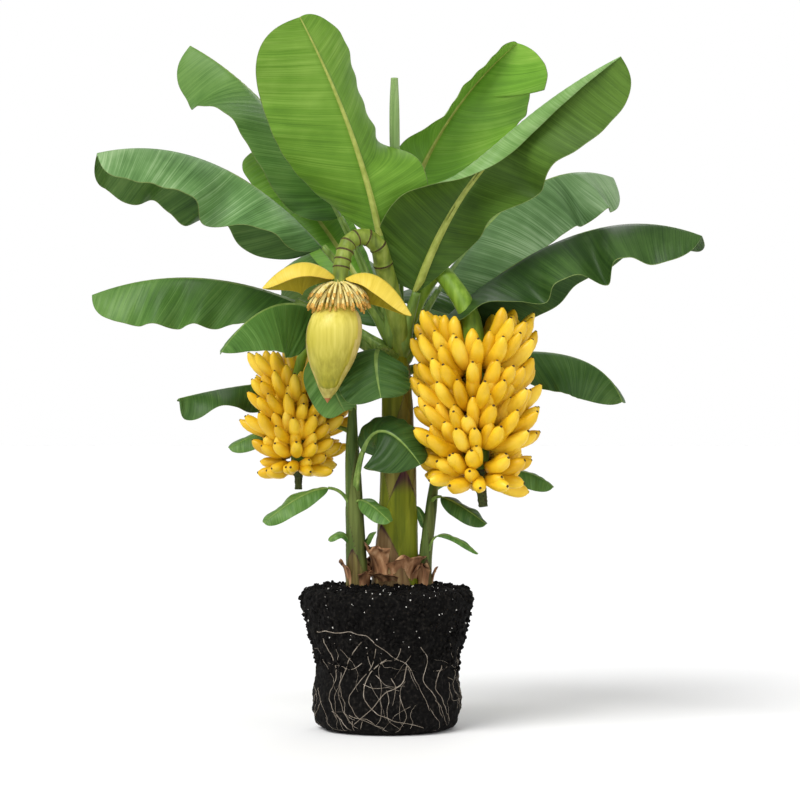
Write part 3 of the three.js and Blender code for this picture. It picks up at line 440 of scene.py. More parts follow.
def streaked(name, stops, scale, roughness=0.5, specular=0.3, strength=0.3, depth=0.6, detail=4.0):
    """Colours that follow a noise stretched by scale, with relief from the same noise."""
    made, tree, shader = start_material(name, roughness, specular)
    grain = stretched_noise(tree, scale, detail)
    colour_and_bump(tree, shader, ramp(tree, grain, stops), grain, strength, depth)
    return made


def sheathed_skin(name, green, brown, scale):
    """A stem's skin: green sheaths and brown ones, each with a dark dry edge."""
    made, tree, shader = start_material(name, 0.55, 0.15)
    tone, edge, _ = own_place(tree)
    grain = stretched_noise(tree, scale)
    skin = mix(tree, tone, ramp(tree, grain, green), ramp(tree, grain, brown))
    dry = ramp(tree, grain, shades("241014 43242a 6a4c3a", 0.3, 0.55, 0.75))
    colour_and_bump(tree, shader, mix(tree, edge, skin, dry), grain, 0.35, 0.8)
    return made


def veined(name, stops, roughness, strength):
    """A leaf surface: fine side veins, broader pleats along them, soft blotches, and painted shade
    that makes it darker towards its stalk.
    """
    made, tree, shader = start_material(name, roughness, 0.18)
    along, across, share = own_place(tree)
    spread = maths(tree, "MULTIPLY", across, 0.6)

    def bands(number):
        place = add(tree, "CombineXYZ", {"X": maths(tree, "MULTIPLY", along, number), "Y": spread})
        wanted = {"Vector": place.outputs["Vector"], "Scale": 1.0, "Detail": 2.0}
        return add(tree, "TexNoise", wanted).outputs["Fac"]

    veins, pleats = bands(32.0), bands(6.0)
    blotch = stretched_noise(tree, 7, 3.0)
    # Painted shade: each blade darker towards its stalk and lighter towards its tip
    mixed = maths(tree, "MULTIPLY", share, 0.1)
    for part, weight in ((veins, 0.32), (pleats, 0.22), (blotch, 0.38)):
        mixed = maths(tree, "MULTIPLY_ADD", part, weight, mixed)
    relief = maths(tree, "ADD", veins, pleats)
    colour_and_bump(tree, shader, ramp(tree, mixed, stops), relief, strength, 0.8)
    return made


def graded(name, high, low, span, scale, roughness, specular):
    """Streaks whose colours change down the piece, over a span of its length."""
    made, tree, shader = start_material(name, roughness, specular)
    share = own_place(tree)[2]
    grain = stretched_noise(tree, scale)
    wanted = {"Value": share, "From Min": span[0], "From Max": span[1]}
    change = add(tree, "MapRange", wanted).outputs["Result"]
    colour = mix(tree, change, ramp(tree, grain, high), ramp(tree, grain, low))
    colour_and_bump(tree, shader, colour, grain, 0.15, 0.5)
    return made


def leaf_materials(tint, upper, under, rib, stalk, margin):
    return [
        veined(f"{tint}_leaf_upper", upper, 0.42, 0.35),
        veined(f"{tint}_leaf_under", under, 0.54, 0.5),
        streaked(f"{tint}_leaf_rib", rib, 60, 0.45),
        streaked(f"{tint}_leaf_stalk", stalk, (90, 90, 9), 0.45),
        streaked(f"{tint}_leaf_margin", margin, 120, 0.6),
    ]


# Green leaves: colours of the upper side, the under side and the rib of each tint. The tints are lighter
# and darker copies of one leaf green, each given to a leaf after how lit or shaded it looks, so they hold
# painted light and shade.
PALE_RIB, GREEN_RIB = "8d9a3e aeb65c", "5e7a35 7f974c"
SHADED_UNDER = "2c4a1c 426428 5c7c3c"
GREEN_LEAVES = {
    "bright": ("527e22 68982e 84ac44", "4e7620 66902c 82a644", PALE_RIB),
    "mid": ("32521e 4a702e 668a44", "3e5c24 547430 6c8a42", GREEN_RIB),
    "deep": ("264218 385824 527238", "2c4a1c 3f6028 567638", GREEN_RIB),
    # Painted shade: a darker copy of the leaf green for leaves that lie in the shade of others
    "dark": ("1a3210 294418 3f5c28", "243e16 345220 48662e", GREEN_RIB),
    # Painted sheen: a paler, greyer upper side where the light glances off the leaf
    "sheen": ("3a5e2a 62884e 94b27e", SHADED_UNDER, GREEN_RIB),
    # Painted sheen: a grey-green upper side that stands for light reflected off the leaf
    "painted_grey_sheen": ("345228 587848 86a076", SHADED_UNDER, GREEN_RIB),
    # Painted light and shade: a pale, lit upper side on the rolled outer half and a dark, shaded under side
    "rolled": ("567e3a 6f9450 8cac6e", "2e4616 415e1c 547428", PALE_RIB),
}
BLADE_PLACES = (0.36, 0.5, 0.64)
GREEN_STALK = shades("54702a 6f8a3a 8fa452", 0.3, 0.55, 0.75)
GREEN_MARGIN = shades("566f30 74874a 6a5530", 0.3, 0.6, 0.75)
LEAF_TINTS = {}
for tint, (upper, under, rib) in GREEN_LEAVES.items():
    sides = [shades(colours, *BLADE_PLACES) for colours in (upper, under)]
    LEAF_TINTS[tint] = leaf_materials(tint, *sides, shades(rib), GREEN_STALK, GREEN_MARGIN)
# The bracts' olive under side is partly their own colour and partly painted shade for the inner face that
# hangs in shadow
LEAF_TINTS["bract"] = leaf_materials(
    "bract", shades("c4aa34 d8be48 e2ca5c"), shades("80740a 988a12 ab9a20"), shades("b8a030 d0b848"),
    shades("98923a c0b252"), shades("b8922c d4b848"))
DRY_SHEATH = streaked("dry_sheath", shades("46301f 7e583c a67c58 cca982", 0.28, 0.42, 0.56, 0.72),
                      (60, 60, 12), 0.7, 0.2, 0.5, 1.2)
MAIN_STEM_SKIN = sheathed_skin(
    "main_stem_skin", shades("48560a 68720c 848a1c", 0.28, 0.5, 0.72),
    shades("4a3222 6e5636 86704a 5a3c26", 0.28, 0.45, 0.6, 0.75), (60, 60, 3.5))
SUCKER_SKIN = sheathed_skin(
    "sucker_skin", shades("364a1e 4c602a 667a3c", 0.28, 0.5, 0.72),
    shades("3f301c 665a30 7d7c44", 0.28, 0.5, 0.72), (90, 90, 5))
FLOWER_STALK_SKIN = streaked(
    "flower_stalk_skin", shades("4f611e 788a30 9aa650", 0.25, 0.5, 0.75), (60, 60, 14))
RING_SCAR = streaked("ring_scar", shades("2a2210 5a4c24"), 200, 0.7)
BUNCH_STALK_SKIN = streaked(
    "bunch_stalk_skin", shades("56761c 6f9026 8aa83c", 0.25, 0.5, 0.75), (80, 80, 10))
ROUGH_STUB = streaked("rough_stub", shades("242a14 434e24 30241a"), 160, 0.85)
SPEAR_SKIN = streaked("new_leaf_skin", shades("6c8a4a 84a05f 9db57c", 0.25, 0.5, 0.75), (120, 120, 4), 0.45)
BUD_GRAIN = dict(span=(0.2, 0.85), scale=(130, 130, 2.5), roughness=0.4, specular=0.35)
BUD_SKIN = graded("bud_skin", shades("c4b544 d2c454 dccf66"),
                  shades("707006 868208 989216"), **BUD_GRAIN)
BUD_SIDE = graded("bud_side_bract", shades("c9b464 d6c47c e0d292"),
                  shades("8f8434 a59a48 b6aa5c"), **BUD_GRAIN)
BUD_POINT = streaked("bud_point", shades("7c4524 a5663a", 0.3, 0.6), (120, 120, 40), 0.5)
FLORET_SKIN = streaked("floret_skin", shades("d4bf62 ebdc98", 0.3, 0.6), (150, 150, 60), 0.5)
FLORET_TIP = streaked("floret_tip", shades("b8822c dcb058", 0.3, 0.6), 200, 0.6)
FRUIT_GRAIN = dict(scale=14, roughness=0.4, specular=0.35, strength=0.1, depth=0.5)
FRUIT_SKINS = [
    streaked("fruit_gold", shades("d3a410 e6bb1e efc93a"), **FRUIT_GRAIN),
    streaked("fruit_yellow", shades("dcb018 ecc52c f4d24a"), **FRUIT_GRAIN),
    streaked("fruit_amber", shades("c99a0c dcb016 e8bf2c"), **FRUIT_GRAIN),
]
FRUIT_NECK = streaked("fruit_neck", shades("8f7a1c b8921c", 0.3, 0.6), 60, 0.5)
FRUIT_TIP = streaked("fruit_tip", shades("2a1c0c 5a4220"), 200, 0.8)
SOIL = streaked("soil", shades("060505 0f0e0d 262320", 0.35, 0.55, 0.72),
                130, 0.95, 0.1, 0.9, 3, 8.0)
GRAIN = streaked("pale_grain", shades("c9c6be f1efe9"), 300, 0.8)
ROOT_SKIN = streaked("root_skin", shades("645a4e 9a8f80 c8beb0", 0.3, 0.55, 0.75), 60, 0.7)


# Objects and meshes
def add_object(name, data):
    """A new object in the scene."""
    made = bpy.data.objects.new(name, data)
    bpy.context.scene.collection.objects.link(made)
    return made


class Shape:
    """A mesh in the making, from bodies that are rows of rings closed at both ends."""

    def __init__(self):
        self.points, self.faces, self.slots, self.places = [], [], [], []
        self.count = 0

    def add(self, rings, slot=0, place=None):
        """rings is rows by columns of points. slot is a number, or one for each face, and place is
        what each point carries for its material."""
        rows, columns = rings.shape[:2]
        slot = np.broadcast_to(slot, (rows - 1, columns))
        place = np.zeros((rows, columns, 3)) if place is None else place
        centre = rings.mean((0, 1))
        turned = np.cross(np.roll(rings, -1, 1)[:-1] - rings[:-1], rings[1:] - rings[:-1])
        if (turned * (rings[:-1] - centre)).sum() < 0:
            rings, place = rings[:, ::-1], place[:, ::-1]
            slot = np.roll(slot[:, ::-1], -1, 1)
        index = self.count + np.arange(rows * columns).reshape(rows, columns)
        after = np.roll(index, -1, 1)
        quads = np.stack([index[:-1], after[:-1], after[1:], index[1:]], -1).reshape(-1, 4)
        low, high = self.count + rows * columns, self.count + rows * columns + 1
        fans = [[low, b, a] for a, b in zip(index[0], after[0])]
        fans += [[high, a, b] for a, b in zip(index[-1], after[-1])]
        self.points += [rings.reshape(-1, 3), rings[[0, -1]].mean(1)]
        self.places += [place.reshape(-1, 3), place[[0, -1]].mean(1)]
        self.faces += quads.tolist() + fans
        self.slots += [slot.reshape(-1), slot[0], slot[-1]]
        self.count += rows * columns + 2

    def piece(self, name, materials, nodes, slot=None):
        """The finished piece, which stands for CAD nodes and moves with the plant."""
        mesh = bpy.data.meshes.new(name)
        mesh.from_pydata((np.concatenate(self.points) * MM).tolist(), [], self.faces)
        for each in materials:
            mesh.materials.append(each)
        mesh.polygons.foreach_set("material_index", np.concatenate(self.slots).astype(np.int32))
        mesh.polygons.foreach_set("use_smooth", np.ones(len(mesh.polygons), bool))
        carried = mesh.attributes.new("place", "FLOAT_VECTOR", "POINT")
        carried.data.foreach_set("vector", np.concatenate(self.places).astype(np.float32).ravel())
        made = add_object(name, mesh)
        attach(made, "root")
        if nodes:
            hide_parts(*nodes)


def make_piece(name, materials, nodes, *body):
    """A piece of one body, which stands for CAD nodes."""
    shape = Shape()
    shape.add(*body)
    shape.piece(f"{name}_surface", materials, nodes)


UP = np.array([0, 0, 1])
ASKEW = (0.31, 0.87, 0.39)
CURVE_STEPS = 24


def lerp(start, end, share):
    return start + (end - start) * share


def unit(vectors):
    return vectors / np.maximum(np.linalg.norm(vectors, axis=-1, keepdims=True), 1e-12)


def smoothstep(values, low, high):
    share = np.clip((values - low) / (high - low), 0, 1)
    return share * share * (3 - 2 * share)


def angle_between(one, other):
    """The turn from one angle to another, from -pi to pi."""
    return (one - other + math.pi) % (2 * math.pi) - math.pi


def turn_away(angle, facing):
    """How far angles lie from a facing in degrees, as a share of half a turn."""
    return np.abs(angle_between(angle, math.radians(facing))) / math.pi


def level(heading):
    """The level direction at an angle from +X."""
    return np.array([math.cos(heading), math.sin(heading), 0])


def ring_points(radius, angle, height):
    """Points at a radius and an angle round an upright axis, at a height."""
    return np.stack(np.broadcast_arrays(radius * np.cos(angle), radius * np.sin(angle), height), -1)


def full_turn(count):
    return np.arange(count) * 2 * math.pi / count


def reach_along(points, power=1):
    """The distance from the start to each point of a path, each step raised to a power."""
    steps = np.linalg.norm(np.diff(points, axis=0), axis=1) ** power
    return np.concatenate([[0], np.cumsum(steps)])


def smooth_path(points, shares):
    """A smooth curve through points, with any further values they carry, read at shares of its length."""
    given = np.array(points, float)
    ends = np.vstack([2 * given[0] - given[1], given, 2 * given[-1] - given[-2]])
    knots = reach_along(ends[:, :3], 0.5)
    drawn = []
    for k in range(1, len(ends) - 2):
        t = np.linspace(knots[k], knots[k + 1], CURVE_STEPS, endpoint=k == len(ends) - 3)[:, None]
        p, u = ends[k - 1:k + 3], knots[k - 1:k + 3]
        a = [((u[i + 1] - t) * p[i] + (t - u[i]) * p[i + 1]) / (u[i + 1] - u[i]) for i in range(3)]
        b = [((u[i + 2] - t) * a[i] + (t - u[i]) * a[i + 1]) / (u[i + 2] - u[i]) for i in range(2)]
        drawn.append(((u[2] - t) * b[0] + (t - u[1]) * b[1]) / (u[2] - u[1]))
    drawn = np.vstack(drawn)
    reach = reach_along(drawn[:, :3])
    wanted = np.asarray(shares) * reach[-1]
    return np.stack([np.interp(wanted, reach, column) for column in drawn.T], -1)


def frames_along(points):
    """Two directions across a path, which don't twist along it."""
    along = unit(np.gradient(points, axis=0))
    side = unit(np.cross(along[0], ASKEW))
    sides = []
    for direction in along:
        side = unit(side - direction * side.dot(direction))
        sides.append(side)
    sides = np.array(sides)
    return sides, np.cross(along, sides)


def tube(points, radii, sides):
    """Rings round a path. radii is one for each point, or one for each point and side."""
    first, second = frames_along(points)
    angle = full_turn(sides)
    radii = np.asarray(radii, float)
    radii = np.broadcast_to(radii if radii.ndim == 2 else radii[:, None], (len(points), sides))
    across = first[:, None] * np.cos(angle)[:, None] + second[:, None] * np.sin(angle)[:, None]
    return points[:, None] + across * radii[..., None]


# Leaves
def rib_frame(leaf, shares):
    """Points on the rib at shares of its length, the directions along, over and across it, and its length."""
    foot, bend, tip = (np.array(leaf[key], float) for key in ("foot", "bend", "tip"))

    def curve(t):
        return (1 - t) ** 2 * foot + 2 * t * (1 - t) * bend + t * t * tip

    t = np.linspace(0, 1, RIB_POINTS)[:, None]
    reach = reach_along(curve(t))
    at = np.interp(np.asarray(shares) * reach[-1], reach, t[:, 0])[:, None]
    along = unit((1 - at) * (bend - foot) + at * (tip - bend))
    face = np.array(leaf["face"], float)
    over = unit(face - along * (along @ face)[:, None])
    return curve(at), along, over, np.cross(over, along), reach[-1]


def blade_outline(share, peak, base_power, tip_power):
    """The width of a blade along its length: full at its peak, rounded at both ends."""
    off = np.where(share < peak, (peak - share) / peak, (share - peak) / (1 - peak))
    power = np.where(share < peak, base_power, tip_power)
    return (1 - off ** power) ** (1 / power)


def through_keys(places, values, share):
    """Values at shares of the blade, on a smooth curve through the values at given places."""
    if len(places) == 1:
        return np.full_like(share, values[0])
    slopes = np.gradient(values, places)
    k = np.clip(np.searchsorted(places, share) - 1, 0, len(places) - 2)
    span = places[k + 1] - places[k]
    t = np.clip((share - places[k]) / span, 0, 1)
    start, end = values[k], values[k + 1]
    bend = t * (1 - t) * ((1 - t) * slopes[k] - t * slopes[k + 1]) * span
    return start + (end - start) * t * t * (3 - 2 * t) + bend


def half_blade(keys, share, width, reach):
    """Out and up from the rib, and the lie, of a half that bends evenly from rib to margin."""
    places, at_rib, at_margin = np.array(keys, float).T
    start = np.radians(through_keys(places, at_rib, share))
    end = np.radians(through_keys(places, at_margin, share))
    lie = lerp(start, end, reach)
    middle = (start + lie) / 2
    chord = width * reach * np.sinc((lie - start) / (2 * math.pi))
    return chord * np.cos(middle), chord * np.sin(middle), lie


def leaf_rings(leaf, rows, columns):
    """Rings, face slots and places of a leaf: a channelled stalk that opens into a folded, wavy blade."""
    bare, radius = leaf["stalk"]
    thickness = leaf["thickness"]
    rib_half = np.concatenate([RIB_STEPS, np.ones(columns)])
    blade_half = np.concatenate([np.zeros(len(RIB_STEPS)), np.linspace(0, 1, columns)[1:], [1]])
    blade_half[-2] = MARGIN_SHARE
    steps = len(rib_half)
    order = np.concatenate([np.arange(steps)[::-1], np.arange(1, steps)])
    ring = np.concatenate([order, order[::-1]])
    left_first = np.concatenate([np.ones(steps), -np.ones(steps - 1)])
    side = np.concatenate([left_first, left_first[::-1]])
    left = side > 0
    upper = np.repeat([True, False], len(order))
    of_rib, of_blade = rib_half[ring], blade_half[ring]

    # The stalk: round below, hollowed above, wider where it clasps the stem
    share = np.linspace(0, 1, STALK_ROWS)
    point, along, over, across, length = rib_frame(leaf, share * bare)
    angle = (np.arange(len(ring)) + 0.5) * 2 * math.pi / len(ring)
    flare = 1 + STALK_FLARE * np.clip(1 - share * FLARE_STEEPNESS, 0, 1)
    stalk_radius = (radius * lerp(1, STALK_TAPER, share) * flare)[:, None]
    hollow = 1 - CHANNEL_DEPTH * np.exp(-((angle - math.pi / 2) / CHANNEL_WIDTH) ** 2)
    stalk_rings = point[:, None] + across[:, None] * (stalk_radius * np.cos(angle))[..., None]
    stalk_rings = stalk_rings + over[:, None] * (stalk_radius * np.sin(angle) * hollow)[..., None]

    # Its heel, which thins out down inside the stem
    inwards = HEEL_LENGTH * radius * unit(-UP - along[0])
    heel_ring = point[0] + inwards + HEEL_WIDTH * (stalk_rings[:1] - point[0])

    # The blade
    station = 0.5 - 0.5 * np.cos(math.pi * np.arange(1, rows) / rows)
    point, along, over, across, _ = rib_frame(leaf, bare + (1 - bare) * station)
    station = station[:, None]
    outline = np.where(left, *(blade_outline(station, *each) for each in leaf["shapes"]))
    width = np.maximum(np.where(left, leaf["half"][0], leaf["half"][1]) * outline, thickness)
    for tear_side, place, depth, gape in leaf["tears"]:
        cut = depth * np.clip(1 - (place - station) / gape, 0, 1) * (station < place)
        width = width * np.where(side == tear_side, 1 - cut, 1)
    rib = np.minimum(radius * RIB_WIDTH * (1 - station) + RIB_AT_TIP * station, RIB_SHARE_OF_BLADE * width)
    distance = rib * of_rib + (width - rib) * of_blade
    reach = distance / width
    bent = [half_blade(leaf[key], station, width, reach) for key in ("left", "right")]
    out, up, lie = (np.where(left, one, other) for one, other in zip(*bent))
    height, number, start = (np.where(left, *pair) for pair in zip(*leaf["waves"]))
    wave = height * outline * reach ** 2 * np.sin(2 * math.pi * (number * station + start))
    ripple, ripples = leaf["ripple"]
    wave = wave + ripple * outline * reach ** 4 * np.sin(2 * math.pi * (ripples * station + 2 * start))
    down_rib = station * length * (1 - bare)
    pleats = (down_rib - VEIN_LEAN * distance) / PLEAT_LENGTH
    wave = wave + PLEAT_HEIGHT * outline * 4 * reach * (1 - reach) * np.sin(2 * math.pi * pleats)
    in_rib = of_blade == 0
    keel = rib * KEEL_DEPTH * np.sqrt(np.maximum(0, 1 - of_rib ** 2)) * in_rib
    channel = rib * CHANNEL_DEPTH * (1 - of_rib ** 2) * in_rib
    lift = wave + np.where(upper, thickness / 2 - channel, -thickness / 2 - keel)
    aside = side * (out - lift * np.sin(lie))
    above = up + lift * np.cos(lie)
    forward = np.where(left, *leaf["sweep"]) * width * reach ** 2
    blade_rings = point[:, None] + across[:, None] * aside[..., None] + over[:, None] * above[..., None]
    blade_rings = blade_rings + along[:, None] * forward[..., None]

    rings = np.concatenate([heel_ring, stalk_rings, blade_rings])
    below_blade = 1 + STALK_ROWS
    after = np.roll(of_blade, -1)
    slot = np.where(upper, UPPER, UNDER)
    slot = np.where(in_rib & (after == 0), RIB, slot)
    slot = np.where((of_blade >= MARGIN_SHARE) & (after >= MARGIN_SHARE), MARGIN, slot)
    slots = np.tile(slot, (len(rings) - 1, 1))
    slots[:below_blade] = STALK
    place = np.zeros((*rings.shape[:2], 3))
    place[below_blade:, :, 0] = (down_rib - VEIN_LEAN * distance) * VEIN_UNIT
    place[below_blade:, :, 1] = side * reach
    place[below_blade:, :, 2] = station
    return rings, slots, place


def make_leaf(leaf, rows, columns):
    name = leaf["name"]
    make_piece(name, LEAF_TINTS[leaf["tint"]], [name], *leaf_rings(leaf, rows, columns))


# Stems
def make_stem(node, stem, skin):
    """A stem wrapped in sheaths, each a little thicker than what it covers."""
    path, sheaths, thickness = stem["path"], stem["sheaths"], stem["thickness"]
    rows = int((path[-1][2] - path[0][2]) / STEM_ROW_HEIGHT)
    drawn = smooth_path(path, np.linspace(0, 1, rows))
    angle = full_turn(stem["sides"])
    tone, edge, extra = np.zeros((3, rows, len(angle)))
    for highest, top, drop, brown, dry in reversed(sheaths):
        away = turn_away(angle, highest)
        below = top - drop * away ** SHEATH_DROP_POWER - drawn[:, 2:3]
        cover = smoothstep(below, 0, SHEATH_EDGE)
        extra += thickness * cover
        tone = tone * (1 - cover) + brown * cover
        stain = lerp(THIN_STAIN, dry, np.exp(-(away / STAIN_SPREAD) ** 2))
        edge = edge * (1 - cover) + cover * (1 - smoothstep(below / stain, *STAIN_FADE))
    radii = drawn[:, 3:4] - thickness * len(sheaths) / 2 + extra
    rings = drawn[:, None, :3] + ring_points(radii, angle, 0)
    make_piece(node, [skin], [node], rings, 0, np.stack([tone, edge, edge], -1))


def rough_waves(across, numbers, heights, lean=0):
    """Waves across a flap, each of a random height and start."""
    total = 0
    for number in numbers:
        height = random.uniform(*heights)
        total = total + height * np.sin(across * number + lean + random.uniform(*WAVE_STARTS))
    return total


def make_dry_sheaths(node, stem, flaps):
    """Torn, papery flaps round the foot of a stem, wider and curled out towards their ragged tops."""
    x, y, foot, radius = stem["path"][0]
    up = np.linspace(0, 1, FLAP_ROWS)[:, None]
    across = np.linspace(-1, 1, FLAP_COLUMNS)
    shape = Shape()
    for facing, foot_spread, top_spread, height, curl in flaps:
        spread = np.radians(lerp(foot_spread, top_spread, up)) / 2
        ragged = rough_waves(across, RAGGED_WAVES, RAGGED_HEIGHTS)
        rumple = rough_waves(across, RUMPLE_WAVES, RUMPLE_HEIGHTS, up * RUMPLE_LEAN)
        tall = height * (1 - FLAP_SHOULDER * across ** 2 + ragged)
        out = radius + FLAP_GAP + curl * up ** FLAP_CURL_POWER + rumple * up
        heading = math.radians(facing) + across * spread
        rise = foot - FLAP_SINK + tall * np.sin(up * FLAP_BEND) / np.sin(FLAP_BEND)
        inner, outer = (np.array([x, y, 0]) + ring_points(out + gap, heading, rise)
                        for gap in (0, FLAP_THICKNESS))
        shape.add(np.concatenate([outer, inner[:, ::-1]], 1))
    shape.piece(f"{node}_surface", [DRY_SHEATH], [node])


# Stalks, flower and fruit
def make_flower_stalk():
    """An arching stalk with the ring scars of fallen bracts."""
    share = np.linspace(0, 1, FLOWER_STALK_ROWS)
    drawn = smooth_path(FLOWER_STALK, share)
    near = np.min(np.abs(share[:, None] - np.array(FLOWER_RINGS)), 1)
    swell = RING_SWELL * np.exp(-(near / (2 * RING_WIDTH)) ** 2) - RING_GROOVE * (near < RING_WIDTH / 2)
    rings = tube(drawn[:, :3], drawn[:, 3] * (1 + swell), FLOWER_STALK_SIDES)
    scars = (near < RING_WIDTH).astype(int)[:-1, None]
    nodes = ["flower_stalk_rise", "flower_stalk_fall"]
    make_piece("flower_stalk", [FLOWER_STALK_SKIN, RING_SCAR], nodes, rings, scars)


def make_spear():
    """The rolled new leaf: its outer edge runs round it as a seam."""
    share = np.linspace(0, 1, SPEAR_ROWS)
    drawn = smooth_path(SPEAR, share)
    roll = (full_turn(SPEAR_SIDES) / (2 * math.pi) - SPEAR_TURNS * share[:, None]) % 1
    rings = tube(drawn[:, :3], drawn[:, 3:4] * (SPEAR_INSIDE + SPEAR_SEAM * roll), SPEAR_SIDES)
    make_piece("new_leaf_spear", [SPEAR_SKIN], ["new_leaf_spear"], rings)


def make_bud():
    """Bracts wrapped over each other, each ending in an edge further down."""
    share = np.linspace(0, 1, BUD_ROWS)
    places = np.linspace(0, 100, len(BUD_RADII))
    profile = smooth_path(np.stack([places, 0 * places, 0 * places, BUD_RADII], -1), share)[:, 3:4]
    share = share[:, None]
    middle = lerp(np.array(BUD_TOP, float), np.array(BUD_TIP, float), share)
    angle = full_turn(BUD_SIDES)
    outermost = np.full((BUD_ROWS, BUD_SIDES), len(BUD_BRACTS))
    extra = np.zeros((BUD_ROWS, BUD_SIDES))
    for number, (facing, end, slant) in reversed(list(enumerate(BUD_BRACTS))):
        away = turn_away(angle, facing)
        edge = end - slant * (1 - np.cos(away * math.pi)) / 2
        edge = edge - BUD_BRACT_FALL * np.maximum(0, away - BUD_BRACT_REACH)
        inside = edge - share
        extra += BUD_BRACT_THICKNESS * smoothstep(inside, 0, BUD_BRACT_EDGE)
        outermost = np.where(inside > 0, number, outermost)
    slots = np.where(outermost == 0, 0, 1)
    slots = np.where(share > BUD_POINT_START, 2, slots)[:-1]
    core = profile - len(BUD_BRACTS) / 2 * BUD_BRACT_THICKNESS
    radii = np.maximum(core + extra, BUD_LEAST_RADIUS)
    rings = middle[:, None] + ring_points(radii, angle, 0)
    place = np.zeros_like(rings)
    place[..., 2] = share
    make_piece("flower_bud", [BUD_SKIN, BUD_SIDE, BUD_POINT], ["flower_bud"], rings, slots, place)


def finger_rings(base, heading, elevations, length, thickness, profile, sides, ridge, roll):
    """A fruit or flower that leaves its base at one elevation and bends to another."""
    share, fullness = np.array(profile).T
    fine = np.linspace(0, 1, FINGER_STEPS)
    elevation = np.radians(lerp(*elevations, fine))[:, None]
    steps = np.cos(elevation) * level(heading) + np.sin(elevation) * UP
    reached = np.cumsum((steps[:-1] + steps[1:]) / 2, 0) / (FINGER_STEPS - 1)
    drawn = np.vstack([[0, 0, 0], reached]) * length
    points = np.stack([np.interp(share, fine, column) for column in drawn.T], -1) + base
    ridges = 1 + ridge * np.cos(FINGER_RIDGES * full_turn(sides) + roll)
    return tube(points, thickness / 2 * fullness[:, None] * ridges, sides)


def make_hand(bunch, tier):
    """A tier of fruits in two rows round the stalk. Higher tiers are fuller and their fruits turn up more."""
    share = tier / (bunch["tiers"] - 1)
    foot, top = np.array(bunch["foot"], float), np.array(bunch["top"], float)
    centre = lerp(foot, top, share ** TIER_CROWDING)
    full = min(1, share / FULL_TIER_SHARE)
    count = round(lerp(*bunch["fingers"], full))
    length = lerp(*bunch["length"], full)
    rise = [lerp(low, high, share ** TIER_LIFT) for low, high in zip(LOW_TIER_RISE, HIGH_TIER_RISE)]
    shape = Shape()

    # Every second tier is turned by half a fruit
    inner = round(count * INNER_ROW_SHARE)
    turns = [(number + 0.5 * (tier % 2)) / count for number in range(count)]
    turns += [(number + 0.25) / inner for number in range(inner)]
    for number, turn in enumerate(turns):
        in_back = number >= count
        heading = 2 * math.pi * turn + random.normal(0, FINGER_TURN_JITTER)
        if share == 1 and abs(angle_between(heading, FRONT)) < STALK_GAP:
            continue
        start = centre + bunch["collar"] * level(heading)
        start[2] += random.normal(0, FINGER_HEIGHT_JITTER)
        lean = INNER_ROW_RISE * in_back
        elevations = [angle + lean + random.normal(0, FINGER_RISE_JITTER) for angle in rise]
        finger = length * random.uniform(*FINGER_LENGTHS) * (INNER_ROW_LENGTH if in_back else 1)
        thickness = bunch["thickness"] * random.uniform(*FINGER_WIDTHS)
        rings = finger_rings(start, heading, elevations, finger, thickness, FINGER_PROFILE,
                             FINGER_SIDES, FINGER_RIDGE, random.uniform(*WAVE_STARTS))
        slots = np.full((len(FINGER_PROFILE) - 1, 1), random.integers(0, len(FRUIT_SKINS)))
        slots[:FINGER_NECK_ROWS] = len(FRUIT_SKINS)
        slots[-FINGER_TIP_ROWS:] = len(FRUIT_SKINS) + 1
        shape.add(rings, slots)
    node = f"{bunch['side']}_hand_{tier + 1}"
    shape.piece(f"{node}_surface", [*FRUIT_SKINS, FRUIT_NECK, FRUIT_TIP], [node])


def make_bunch_stalk(bunch):
    """A stalk that arches over and hangs down, rough where it ends below the fruit."""
    share = np.linspace(0, 1, BUNCH_STALK_ROWS)
    drawn = smooth_path(bunch["stalk"], share)
    rough = np.where(share > STUB_START, 1, 0)[:, None]
    uneven = random.normal(0, STUB_ROUGHNESS, (BUNCH_STALK_ROWS, BUNCH_STALK_SIDES))
    rings = tube(drawn[:, :3], drawn[:, 3:4] * (1 + rough * uneven), BUNCH_STALK_SIDES)
    name = f"{bunch['side']}_bunch_stalk"
    nodes = [f"{name}_rise", f"{name}_fall"]
    make_piece(name, [BUNCH_STALK_SKIN, ROUGH_STUB], nodes, rings, rough[:-1])


def make_fringe():
    """Young flowers in three rows that hang over the shoulder of the bud."""
    shape = Shape()
    slots = np.zeros((len(FLORET_PROFILE) - 1, 1), int)
    slots[-FLORET_TIP_ROWS:] = 1
    for row, (count, length, lean, rise) in enumerate(FRINGE_ROWS):
        for number in range(count):
            heading = 2 * math.pi * (number + 0.5 * row) / count + random.normal(0, FLORET_TURN_JITTER)
            base = np.array(FRINGE_PLACE, float) + FRINGE_RADIUS * level(heading)
            base[2] += rise
            elevations = [angle + random.normal(0, FLORET_LEAN_JITTER) for angle in lean]
            rings = finger_rings(base, heading, elevations, length * random.uniform(*FLORET_LENGTHS),
                                 FLORET_THICKNESS, FLORET_PROFILE, FLORET_SIDES, FLORET_RIDGE, 0)
            shape.add(rings, slots)
    shape.piece("flower_fringe_surface", [FLORET_SKIN, FLORET_TIP], ["flower_fringe"])


# The root ball
SOIL_SHARES = np.linspace(0, 1, SOIL_ROWS)
SOIL_OUTLINE = smooth_path([(radius, height, 0) for radius, height in ROOT_BALL], SOIL_SHARES)[:, :2]
SOIL_SLOPE = unit(np.gradient(SOIL_OUTLINE, axis=0))


def lump_height(point):
    """How far the soil stands out at a point."""
    return sum(depth * noise.noise(Vector(point / size)) for size, depth in SOIL_LUMPS)


